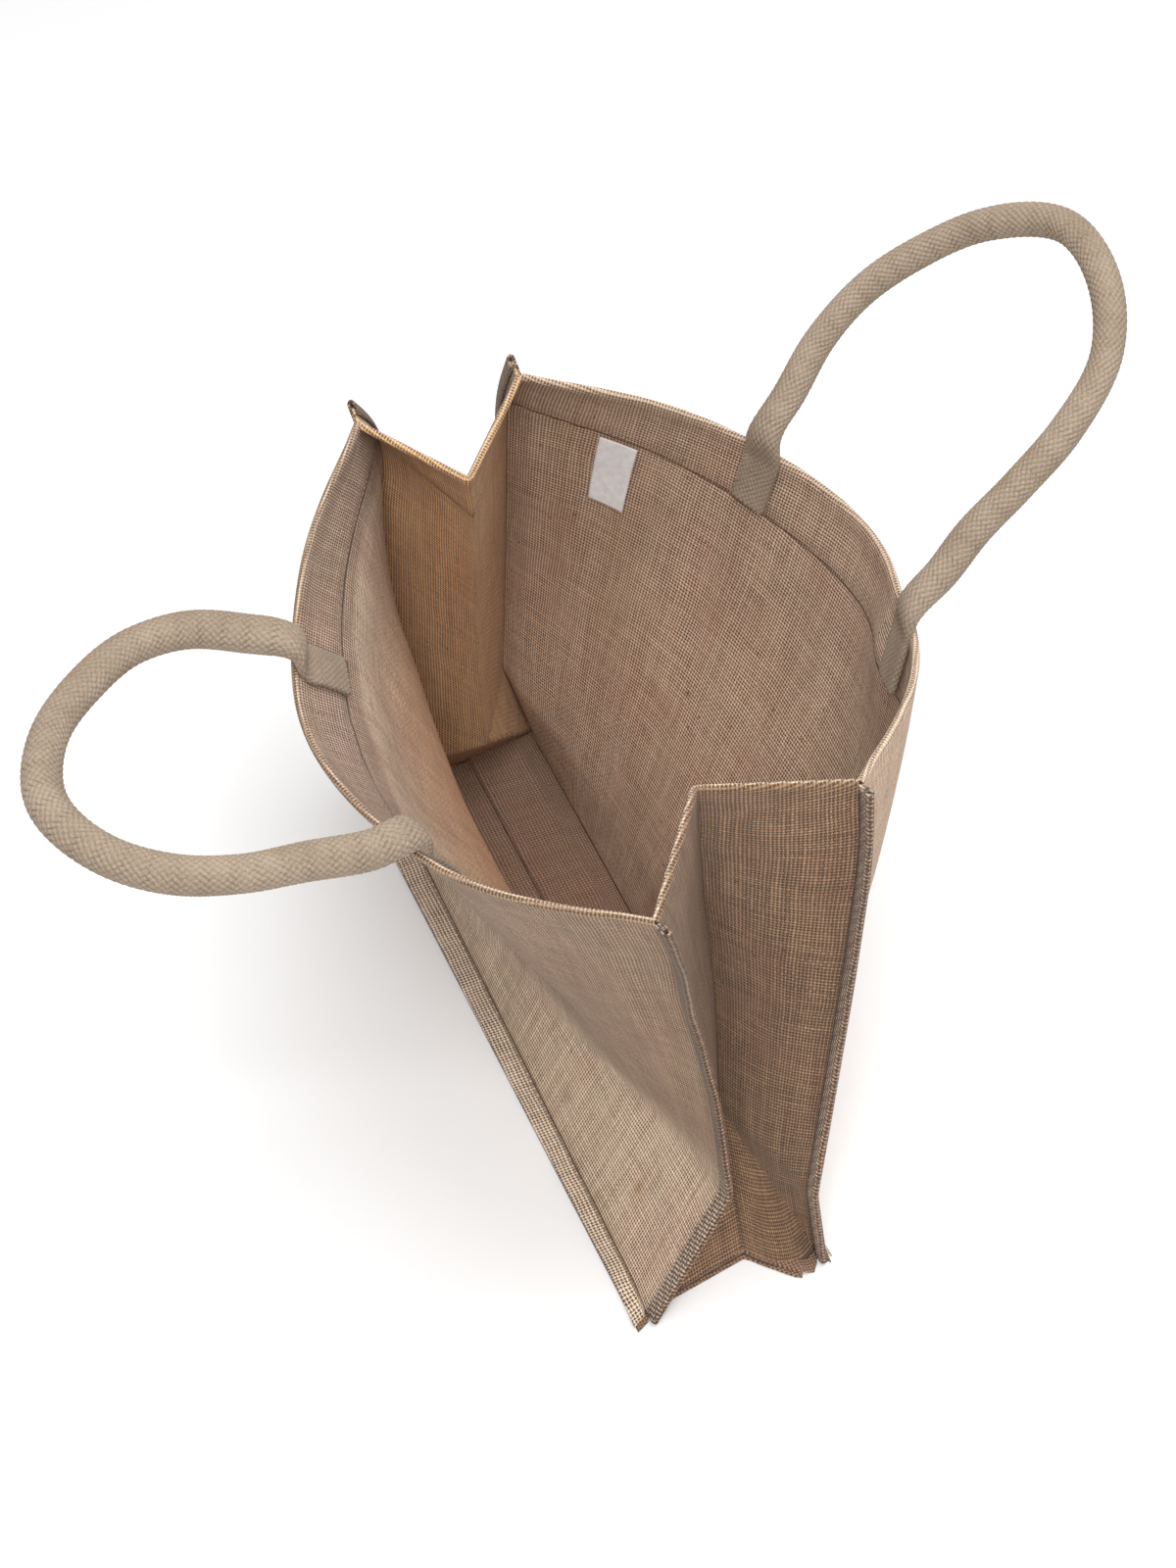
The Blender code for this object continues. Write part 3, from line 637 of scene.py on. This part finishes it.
def build_handle(name, stations, handle, finish):
    """An oval tube, flat where it is a tab and round where it is a rope, with its sleeve's knots."""
    left_share, right_share, half_rope, tilt, loop = HANDLES[handle]
    route, start_wide, end_wide = handle_route(stations, left_share, right_share, tilt, loop)
    at, centre, across, through = swept_frame(route, start_wide, end_wide)
    radius = half_rope * MM
    sides, count = ROPE_SIDES, len(at)
    from_end = np.minimum(at, at[-1] - at)
    rope = ease((from_end - 0.9 * TAB_LENGTH) / (0.85 * TAB_LENGTH))
    end_round = np.sqrt(np.clip(1 - (1 - np.clip(from_end / (2.5 * MM), 0, 1)) ** 2, 0.25, 1))
    half_width = lerp(TAB_HALF_WIDTH, radius, rope) * (0.93 + 0.07 * end_round)
    half_thick = lerp(TAB_HALF_THICKNESS, radius, rope) * end_round
    outline = np.array([
        even_oval(sides, half_width[i], half_thick[i], lerp(0.5, 1.0, rope[i])) for i in range(count)
    ])
    ring = outline[..., :1] * across[:, None] + outline[..., 1:] * through[:, None]
    size = np.linalg.norm(ring, axis=-1, keepdims=True)
    turns = np.arange(sides) / sides
    height = knots(turns[None, :], at[:, None])
    slow = np.sin(at / (31 * MM)) + 0.6 * np.sin(at / (12 * MM) + 1)
    swell = 0.25 * MM * slow[:, None] * rope[:, None]
    depth = (height - 0.6) * lerp(0.6, 1.0, rope)[:, None] * MM + swell
    ring = centre[:, None] + ring * (1 + depth[..., None] / np.maximum(size, 2 * MM))
    i, k = np.meshgrid(np.arange(count - 1), np.arange(sides), indexing="ij")
    nxt = (k + 1) % sides
    corners = (i * sides + k, i * sides + nxt, (i + 1) * sides + nxt, (i + 1) * sides + k)
    faces = np.stack(corners, axis=-1).reshape(-1, 4).tolist()
    faces.append(list(range(sides))[::-1])
    faces.append([(count - 1) * sides + side for side in range(sides)])
    uv = np.stack(np.broadcast_arrays(turns[None, :], at[:, None] / KNOT_ALONG), axis=-1).reshape(-1, 2)
    zone = np.zeros((count * sides, 3))
    zone[:, 0] = height.ravel()
    return add_mesh(name, ring.reshape(-1, 3), faces, finish, uv, zone)


def build_label(finish):
    """A small bare label under the hem, against the inside of the back panel."""
    width = 2 * PROFILES["back_right"][0] * MM
    across = np.linspace(-0.5, 0.5, 22) * LABEL_WIDTH
    grid = panel_surface(BACK, LABEL_SHARE + across / width)
    normals = inner_normals(grid, np.zeros(3))
    depths = np.linspace(0, LABEL_HEIGHT, 51)
    rows = []
    for depth in depths:
        point, normal = at_depth(grid, normals, HEM_DEPTH + LABEL_UNDER_HEM + depth)
        curl = 0.5 * MM * np.sin(depth / (9 * MM)) * (np.abs(across) / LABEL_WIDTH) * 2
        rows.append(point + normal * (LABEL_STANDOFF + np.abs(curl))[:, None])
    grid = np.array(rows)
    uv = np.stack(np.broadcast_arrays(across[None, :], depths[:, None]), axis=-1)
    zone = np.zeros(grid.shape)
    zone[..., 0] = np.minimum(depths, LABEL_HEIGHT - depths)[:, None]
    zone[..., 1] = 0.5 * LABEL_WIDTH - np.abs(across)[None, :]
    present = np.ones((len(depths) - 1, len(across) - 1), bool)
    return add_sheet("label_cloth", grid, present, uv, zone, finish, LABEL_TAPE)


# ------------ materials


class Shading:
    """A material whose nodes are written as short sums."""

    def __init__(self, name, roughness, sheen=0.0):
        self.material = bpy.data.materials.new(name)
        self.material.use_nodes = True
        self.tree = self.material.node_tree
        self.shader = self.tree.nodes["Principled BSDF"]
        self.shader.inputs["Roughness"].default_value = roughness
        self.shader.inputs["Sheen Weight"].default_value = sheen
        self.shader.inputs["Sheen Roughness"].default_value = 0.5

    def put(self, socket, value):
        if isinstance(value, bpy.types.NodeSocket):
            self.tree.links.new(value, socket)
        elif isinstance(value, (int, float)):
            socket.default_value = value
        else:
            socket.default_value = (*value, 1.0) if len(value) < len(socket.default_value) else value

    def do(self, operation, *values):
        node = self.tree.nodes.new("ShaderNodeMath")
        node.operation = operation
        for socket, value in zip(node.inputs, values):
            self.put(socket, value)
        return node.outputs[0]

    def add(self, a, b):
        return self.do("ADD", a, b)

    def minus(self, a, b):
        return self.do("SUBTRACT", a, b)

    def times(self, a, b):
        return self.do("MULTIPLY", a, b)

    def ramp(self, value, low, high, start=0.0, end=1.0):
        node = self.tree.nodes.new("ShaderNodeMapRange")
        node.interpolation_type = "SMOOTHSTEP"
        for socket, given in zip(node.inputs, (value, low, high, start, end)):
            self.put(socket, given)
        return node.outputs[0]

    def vector(self, x, y, z=0.0):
        node = self.tree.nodes.new("ShaderNodeCombineXYZ")
        for socket, value in zip(node.inputs, (x, y, z)):
            self.put(socket, value)
        return node.outputs[0]

    def noise(self, vector, scale, detail=2.0, rough=0.5):
        node = self.tree.nodes.new("ShaderNodeTexNoise")
        self.put(node.inputs["Vector"], vector)
        node.inputs["Scale"].default_value = scale
        node.inputs["Detail"].default_value = detail
        node.inputs["Roughness"].default_value = rough
        return node.outputs[0]

    def mix(self, share, a, b, blend="MIX"):
        node = self.tree.nodes.new("ShaderNodeMix")
        node.data_type = "RGBA"
        node.blend_type = blend
        self.put(node.inputs[0], share)
        self.put(node.inputs[6], a)
        self.put(node.inputs[7], b)
        return node.outputs[2]

    def places(self):
        """The place in the cloth and the three numbers of the zone."""
        uv = self.tree.nodes.new("ShaderNodeUVMap")
        uv.uv_map = "cloth"
        zone = self.tree.nodes.new("ShaderNodeAttribute")
        zone.attribute_name = "zone"
        found = []
        for output in (uv.outputs[0], zone.outputs["Vector"]):
            parts = self.tree.nodes.new("ShaderNodeSeparateXYZ")
            self.put(parts.inputs[0], output)
            found.append(parts.outputs)
        return found[0][0], found[0][1], found[1]

    def finish(self, colour, height, distance, strength):
        self.put(self.shader.inputs["Base Color"], colour)
        bump = self.tree.nodes.new("ShaderNodeBump")
        bump.inputs["Strength"].default_value = strength
        bump.inputs["Distance"].default_value = distance
        self.put(bump.inputs["Height"], height)
        self.put(self.shader.inputs["Normal"], bump.outputs[0])
        return self.material


# Painted shade: the dark put into the gaps of the weave.
HOLE = (0.06, 0.034, 0.018)  # the dark between the threads


def jute(name, pale, dark, openness, shaded=(), spots=()):
    """Plain-woven jute: uneven threads over and under each other, with dark gaps at the crossings and
    painted shade in the hollows between them.

    shaded has rows of painted light and shade, each tinting one side of the cloth: axis and sign of a
    side, where its tint starts and is full above the seam, how much higher that is for each metre along
    the seam, and the tint. spots has rows of: place along and up the cloth and half sizes in millimetres,
    colour and amount.
    """
    s = Shading(name, 0.95, 0.12)
    u, v, zone = s.places()
    rim, seam, _ = zone
    place = s.vector(u, v)
    wander = s.noise(place, 26.0, 1.0)
    waver = s.noise(s.vector(v, u, 0.7), 31.0, 1.0)
    across = s.add(s.times(u, 1 / WARP), s.times(s.minus(wander, 0.5), 1.5))
    up = s.add(s.times(v, 1 / WEFT), s.times(s.minus(waver, 0.5), 1.5))
    column, row = s.do("FLOOR", across), s.do("FLOOR", up)

    def thread(index, run, seed):
        """Half width and tone of one thread, which change slowly along it."""
        width = s.noise(s.vector(s.times(index, 0.71), s.times(run, 0.05), seed), 1.0, 2.0, 0.7)
        tone = s.noise(s.vector(s.times(index, 0.83), s.times(run, 0.035), seed + 5), 1.0, 3.0, 0.75)
        return s.ramp(width, 0.28, 0.72, 0.5 - openness, 0.5 - 0.2 * openness), tone

    warp_half, warp_tone = thread(column, up, 1.0)
    weft_half, weft_tone = thread(row, across, 9.0)

    def body(place_in, index, half, run, sign):
        """A thread's rounded height, raised and lowered as it goes over and under."""
        off = s.do("DIVIDE", s.minus(s.minus(place_in, index), 0.5), half)
        round_top = s.do("MAXIMUM", s.minus(1.0, s.times(off, off)), 0.0)
        wave = s.times(s.do("SINE", s.times(run, math.pi)), s.do("COSINE", s.times(index, math.pi)))
        return s.times(s.do("POWER", round_top, 0.6), s.add(1.0, s.times(wave, 0.5 * sign)))

    warp = body(across, column, warp_half, up, 1.0)
    weft = body(up, row, weft_half, across, -1.0)
    height = s.do("MAXIMUM", warp, weft)
    over = s.do("GREATER_THAN", warp, weft)
    tone = s.add(s.times(over, warp_tone), s.times(s.minus(1.0, over), weft_tone))
    patches = s.noise(place, 11.0, 3.0, 0.6)
    streaks = s.noise(s.vector(s.times(u, 110.0), s.times(v, 6.0)), 1.0, 3.0, 0.65)
    tone = s.add(s.times(tone, 0.66), s.add(s.times(patches, 0.2), s.times(streaks, 0.42)))
    colour = s.mix(s.ramp(tone, 0.42, 0.84), dark, pale)
    fibres = s.noise(s.vector(s.times(u, 900.0), s.times(v, 900.0)), 1.0, 2.0, 0.8)
    colour = s.mix(s.ramp(fibres, 0.3, 0.75, 0.0, 0.25), colour, (0.86, 0.72, 0.57))
    rosy = s.ramp(s.noise(s.vector(u, v, 7.0), 19.0, 2.0), 0.45, 0.62, 0.0, 0.5)
    colour = s.mix(rosy, colour, (1.0, 0.90, 0.92), "MULTIPLY")
    flecks = s.noise(s.vector(u, v, 3.0), 260.0, 1.0)
    colour = s.mix(s.ramp(flecks, 0.73, 0.80, 0.0, 0.8), colour, (0.10, 0.06, 0.035))
    # A corner seam is greyer. Painted highlight makes the rim plainer and lighter, painted shade darkens the
    # groove of a long bottom seam, and its strip is paler, partly its own tone and partly painted light.
    in_seam = s.ramp(seam, -1.5 * MM, -3.5 * MM, 0.0, 1.0)
    colour = s.mix(s.times(in_seam, 0.5), colour, (0.46, 0.37, 0.30))
    # Painted highlight: lighter and plainer along the fold of the rim.
    rim_painted_highlight = s.ramp(s.do("ABSOLUTE", s.add(rim, 1.5 * MM)), 1.5 * MM, 4.5 * MM, 0.6, 0.0)
    colour = s.mix(rim_painted_highlight, colour, (0.62, 0.50, 0.38))
    # Painted shade: a dark line in the groove of a long bottom seam.
    groove = s.ramp(s.do("ABSOLUTE", s.add(v, 0.3 * MM)), 0.5 * MM, 1.6 * MM, 0.75, 0.0)
    colour = s.mix(groove, colour, (0.16, 0.10, 0.06))
    # Partly the cloth's own paler tone, partly painted light: the strip of a long bottom seam faces up and
    # is made paler.
    foot = s.ramp(v, -1.0 * MM, -3.0 * MM, 0.0, 0.6)
    colour = s.mix(foot, colour, (1.0, 0.86, 0.70))
    facing = s.tree.nodes.new("ShaderNodeSeparateXYZ")
    s.put(facing.inputs[0], s.tree.nodes.new("ShaderNodeTexCoord").outputs["Normal"])
    # Painted light and shade: each row darkens or warms one side of the cloth above a height.
    for axis, sign, start, end, rise, tint in shaded:
        side = s.ramp(s.times(facing.outputs[axis], sign), 0.0, 0.25)
        part = s.times(side, s.ramp(s.minus(v, s.times(u, rise)), start, end))
        colour = s.mix(part, colour, tint, "MULTIPLY")
    # Painted shade: the part of a corner seam that faces sideways is darkened, as its darkest.
    turned = s.times(in_seam, s.ramp(s.do("ABSOLUTE", facing.outputs[0]), 0.3, 0.7))
    colour = s.mix(turned, colour, (0.72, 0.62, 0.54), "MULTIPLY")
    for at_u, at_v, wide, tall, tint, amount in spots:
        x = s.times(s.minus(u, at_u * MM), 1 / (wide * MM))
        y = s.times(s.minus(v, at_v * MM), 1 / (tall * MM))
        near = s.do("EXPONENT", s.times(s.add(s.times(x, x), s.times(y, y)), -1.0))
        colour = s.mix(s.times(near, amount), colour, tint)
    # In a corner seam the threads are drawn together and lean.
    lean = s.do("SINE", s.times(s.add(v, s.times(seam, 0.5)), 2 * math.pi / (2.8 * MM)))
    colour = s.mix(s.times(s.times(in_seam, 0.85), s.ramp(lean, -0.3, 0.7)), colour, HOLE)
    # Painted shade: the hollows of the weave are darkened and its gaps made dark, less so at the rim.
    calm = s.minus(1.0, s.times(rim_painted_highlight, 0.4))
    hollow_painted_shade = s.times(calm, s.ramp(height, 0.5, 1.45, 1.0, 0.0))
    colour = s.mix(hollow_painted_shade, colour, (0.36, 0.28, 0.22), "MULTIPLY")
    colour = s.mix(s.times(calm, s.ramp(height, 0.15, 0.7, 1.0, 0.0)), colour, HOLE)
    return s.finish(colour, s.add(height, s.times(fibres, 0.3)), 0.6 * MM, 0.9)


def jute_finishes():
    """The jute of each piece, with the tints and marks that the photograph shows on it. The tints are
    painted light and shade: darker outsides, a darker hem band and upper back, warmer deep insides.
    """
    everywhere = (-1.0, -0.9, 0.0)
    # Painted shade: the outside of the front darkens upwards from near its foot, where the wall leans out
    # over it.
    outside_painted_shade_upwards = (1, -1.0, -8 * MM, 40 * MM, 0.2, (0.54, 0.465, 0.40))
    # Painted shade and bounce light: the inside of the front is darker and warmer the deeper it lies.
    deep_inside_painted_warm_shade = (1, 1.0, 300 * MM, 130 * MM, 0.0, (0.88, 0.60, 0.37))
    # Painted shade: a duller, darker band on the inside of the front just below the rim.
    hem_painted_shade = (1, 1.0, 290 * MM, 300 * MM, 0.0, (0.64, 0.59, 0.57))
    # Painted shade: the inside of the back darkens upwards.
    back_inside_painted_shade_upwards = (1, -1.0, 90 * MM, 260 * MM, 0.0, (0.80, 0.79, 0.78))
    # Painted bounce light: the inside of the left gusset is warmer.
    left_inside_painted_bounce = (0, 1.0, *everywhere, (1.0, 0.82, 0.58))
    # Painted shade: the outside of the left gusset is greyer and darker.
    left_outside_painted_shade = (0, -1.0, *everywhere, (0.72, 0.66, 0.60))
    # Painted shade: the outside of the right gusset is much darker and browner.
    right_outside_painted_shade = (0, 1.0, *everywhere, (0.53, 0.42, 0.33))
    front_spots = [
        (351, 36, 3.5, 5.5, (0.55, 0.33, 0.16), 0.8), (188, 15, 5, 1.2, (0.95, 0.80, 0.62), 0.7),
        (195, 384, 38, 15, (0.50, 0.33, 0.28), 0.45), (300, 300, 30, 12, (0.60, 0.46, 0.36), 0.25),
    ]
    back_spots = [
        (143, 161, 1.2, 2.0, (0.10, 0.06, 0.03), 0.9), (78, 217, 14, 60, (0.62, 0.40, 0.24), 0.25),
        (35, 221, 6, 70, (0.60, 0.38, 0.22), 0.35), (230, 150, 30, 20, (0.50, 0.31, 0.18), 0.2),
    ]
    looks = {
        "front": ((1.0, 0.80, 0.60), (0.65, 0.445, 0.295), 0.25,
                  [outside_painted_shade_upwards, deep_inside_painted_warm_shade, hem_painted_shade], front_spots),
        "back": ((1.0, 0.77, 0.57), (0.80, 0.525, 0.345), 0.24, [back_inside_painted_shade_upwards], back_spots),
        "left side": ((1.0, 0.80, 0.59), (0.76, 0.52, 0.33), 0.24, [left_inside_painted_bounce, left_outside_painted_shade]),
        "right side": ((1.0, 0.79, 0.58), (0.50, 0.33, 0.205), 0.30, [right_outside_painted_shade]),
        # Painted shade: the bottom lies deep inside the bag, so its threads are made far darker than those
        # of the walls.
        "bottom": ((0.36, 0.20, 0.12), (0.24, 0.13, 0.075), 0.10),
    }
    return {piece: jute("jute of the " + piece, *look) for piece, look in looks.items()}


def sleeve():
    """The woven cotton of the handles: pale yarns, with painted shade darkening the hollows between the
    knots.
    """
    s = Shading("cotton sleeve", 0.93, 0.04)
    u, v, zone = s.places()
    height = zone[0]
    place = s.vector(s.times(u, KNOT_AROUND), v)
    patches = s.noise(s.vector(s.times(u, 2.0), s.times(v, 0.09)), 1.0, 3.0, 0.6)
    yarns = s.noise(place, 3.0, 2.0, 0.7)
    tone = s.add(s.times(patches, 0.5), s.times(yarns, 0.6))
    colour = s.mix(s.ramp(tone, 0.35, 0.75), (0.225, 0.167, 0.115), (0.375, 0.298, 0.225))
    strand = s.do("SINE", s.times(s.add(s.times(u, 4.0 * KNOT_AROUND), s.times(v, 2.0)), math.pi))
    # Painted shade: the hollows between the knots are darkened towards brown.
    colour = s.mix(s.ramp(height, 0.1, 0.85, 0.6, 0.0), colour, (0.13, 0.085, 0.05))
    fuzz = s.noise(place, 14.0, 2.0, 0.8)
    bumps = s.add(s.times(height, 0.8), s.add(s.times(strand, 0.08), s.times(fuzz, 0.25)))
    return s.finish(colour, bumps, 0.6 * MM, 0.6)


def sewing_thread():
    s = Shading("seam thread", 0.8, 0.1)
    place = s.tree.nodes.new("ShaderNodeTexCoord").outputs["Object"]
    ply = s.noise(place, 1500.0, 2.0, 0.6)
    colour = (0.36, 0.26, 0.175)
    darker = tuple(0.72 * part for part in colour)
    return s.finish(s.mix(ply, darker, colour), ply, 0.2 * MM, 0.6)


def label_cloth():
    """Bare white satin tape, with its fine ribs and a slightly frayed, soiled edge."""
    s = Shading("label tape", 0.62, 0.1)
    u, v, zone = s.places()
    ribs = s.do("SINE", s.times(v, 2 * math.pi / (0.45 * MM)))
    threads = s.do("SINE", s.times(u, 2 * math.pi / (0.3 * MM)))
    soft = s.noise(s.vector(u, v), 220.0, 3.0, 0.6)
    colour = s.mix(s.ramp(soft, 0.3, 0.7), (0.74, 0.74, 0.76), (0.86, 0.86, 0.88))
    edge = s.do("MINIMUM", zone[0], zone[1])
    colour = s.mix(s.ramp(edge, 0.0, 1.2 * MM, 0.35, 0.0), colour, (0.60, 0.55, 0.48))
    return s.finish(colour, s.add(s.times(ribs, 0.4), s.add(s.times(threads, 0.2), soft)), 0.08 * MM, 0.5)


def floor_finish():
    s = Shading("pale floor", 0.9)
    place = s.tree.nodes.new("ShaderNodeTexCoord").outputs["Object"]
    cloud = s.noise(place, 3.0, 3.0, 0.5)
    return s.finish(s.mix(cloud, (0.88, 0.88, 0.88), (0.91, 0.91, 0.91)), cloud, 0.1 * MM, 0.05)


# ------------ stitches


def add_stitches(seam, runs, finish):
    """Short bowed threads: each run is (points, normals), and each stitch spans two of its points."""
    radius = STITCHES[seam][2] * MM
    vertices, faces = [], []
    sides = 6
    for points, normals in runs:
        for start in range(0, len(points) - 1, 2):
            a, b = points[start], points[start + 1]
            lift = normals[start]
            along = unit(b - a)
            side = unit(np.cross(along, lift))
            upward = np.cross(side, along)
            base = len(vertices)
            for step, (share, scale) in enumerate(STITCH_OUTLINE):
                middle = lerp(a, b, share) + lift * radius * (1.6 * math.sin(math.pi * share) - 0.3)
                for k in range(sides):
                    turn = 2 * math.pi * k / sides
                    way = side * math.cos(turn) + upward * math.sin(turn)
                    vertices.append(middle + way * radius * scale)
                if step:
                    ring = base + step * sides
                    for k in range(sides):
                        n = (k + 1) % sides
                        faces.append([ring - sides + k, ring - sides + n, ring + n, ring + k])
            faces.append([base + k for k in range(sides)][::-1])
            faces.append([ring + k for k in range(sides)])
    return add_mesh(seam + "_stitching", vertices, faces, finish)


def spaced(points, normals, seam):
    """Where a seam's stitches start and end along a line."""
    length, gap, _ = (value * MM for value in STITCHES[seam])
    run = np.concatenate([[0], np.linalg.norm(np.diff(points, axis=0), axis=-1)]).cumsum()
    count = int(run[-1] / (length + gap))
    at = np.array([[k * (length + gap), k * (length + gap) + length] for k in range(count)]).ravel()
    found = np.stack([np.interp(at, run, points[:, axis]) for axis in range(3)], axis=-1)
    ways = np.stack([np.interp(at, run, normals[:, axis]) for axis in range(3)], axis=-1)
    return found, unit(ways)


def corner_stitches():
    """The seam lines of the four corners, on both faces of each flange."""
    runs = []
    for name in ("front_left", "front_right", "back_left", "back_right"):
        points, outward, to_gusset = corner_frame(name)
        for side in (-1, 1):
            off = 0.5 * CLOTH + (LAYER if side < 0 else 0.0)
            line = points + CORNER_STITCHES_OUT * outward + to_gusset * side * off
            runs.append(spaced(line[2:-2], side * to_gusset[2:-2], "corner"))
    return runs


def foot_stitches():
    """The stitches of the two long bottom seams, along the groove at the foot of each panel."""
    runs = []
    for stations in (FRONT, BACK):
        seam = panel_surface(stations, np.linspace(0.01, 0.99, 120))[0]
        way = -1 if stations is FRONT else 1
        line = foot_edge(seam, 0.16)
        line[:, 2] += 0.5 * CLOTH
        normals = np.tile([0.0, 0.0, 1.0], (len(line), 1)) + np.array([0.0, 0.2 * way, 0.0])
        runs.append(spaced(line, unit(normals), "foot"))
    return runs


def hem_stitches():
    """The stitch line that holds the hem, near its lower edge, on the inside."""
    runs = []
    for stations in (FRONT, BACK):
        grid = panel_surface(stations, np.linspace(0.02, 0.98, 120))
        runs.append(hem_line(grid, np.zeros(3)))
    for side in GUSSETS:
        columns = np.linspace(-0.93, 0.93, 61)
        grid = gusset_surface(side, columns)
        runs.append(hem_line(grid, np.array([0.0, grid[-1, len(columns) // 2, 1], 0.0])))
    return runs


def hem_line(grid, inside):
    normals = inner_normals(grid, inside)
    depth = HEM_DEPTH - HEM_STITCHES_UP
    points, facing = at_depth(grid, normals, depth)
    return spaced(points + facing * (hem_offset(depth) + 0.5 * CLOTH), facing, "hem")


# ------------ the bag


def build_all():
    cloths = jute_finishes()
    rope = sleeve()
    thread = sewing_thread()
    pieces = {
        "bottom_panel": build_bottom(cloths["bottom"]),
        "front_panel": build_panel("front", FRONT, cloths["front"]),
        "back_panel": build_panel("back", BACK, cloths["back"]),
        "gusset_left": build_gusset("left_gusset", "left", cloths["left side"]),
        "gusset_right": build_gusset("right_gusset", "right", cloths["right side"]),
        "handle_front": build_handle("front_rope", FRONT, "front", rope),
        "handle_back": build_handle("back_rope", BACK, "back", rope),
        "label": build_label(label_cloth()),
    }
    stitches = [
        add_stitches("corner", corner_stitches(), thread),
        add_stitches("foot", foot_stitches(), thread),
        add_stitches("hem", hem_stitches(), thread),
    ]
    for node, piece in pieces.items():
        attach(piece, "root")
        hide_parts(node)
    for piece in stitches:
        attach(piece, "root")


# ------------ stage


def area_light(name, place, target, size, power):
    lamp = bpy.data.lights.new(name, "AREA")
    lamp.shape = "SQUARE"
    lamp.size = size
    lamp.energy = power
    made = bpy.data.objects.new(name, lamp)
    made.location = place
    made.rotation_euler = (Vector(target) - Vector(place)).to_track_quat("-Z", "Y").to_euler()
    bpy.context.scene.collection.objects.link(made)


def build_stage():
    mesh = bpy.data.meshes.new("floor")
    reach = 6.0
    corners = [(-reach, -reach, 0), (reach, -reach, 0), (reach, reach, 0), (-reach, reach, 0)]
    mesh.from_pydata(corners, [], [[0, 1, 2, 3]])
    mesh.materials.append(floor_finish())
    floor = bpy.data.objects.new("floor", mesh)
    floor.location.z = -0.6 * MM
    bpy.context.scene.collection.objects.link(floor)
    world = bpy.data.worlds.new("soft white")
    world.use_nodes = True
    sky = world.node_tree.nodes["Background"]
    sky.inputs["Color"].default_value = (1.0, 1.0, 1.0, 1.0)
    sky.inputs["Strength"].default_value = 0.55
    bpy.context.scene.world = world
    area_light("key", (1.15, -0.45, 1.9), (0, 0, 0.15), 1.0, 31)
    area_light("top", (-0.1, 0.35, 2.3), (0, 0, 0.1), 1.4, 28)


def build_camera():
    camera = bpy.data.cameras.new("photo view")
    camera.sensor_fit = "AUTO"
    camera.sensor_width = 36.0
    camera.lens = FOCAL_LENGTH_PX * camera.sensor_width / LONGER_SIDE_PX
    camera.clip_start = 0.05
    camera.clip_end = 50.0
    made = bpy.data.objects.new("photo view", camera)
    turn = Vector(CAMERA_FORWARD).normalized().to_track_quat("-Z", "Y").to_matrix().to_4x4()
    roll = Matrix.Rotation(math.radians(CAMERA_ROLL), 4, "Z")
    made.matrix_world = Matrix.Translation(CAMERA_PLACE) @ turn @ roll
    bpy.context.scene.collection.objects.link(made)
    bpy.context.scene.camera = made


build_all()
build_stage()
build_camera()
bpy.context.scene.view_settings.view_transform = "Standard"
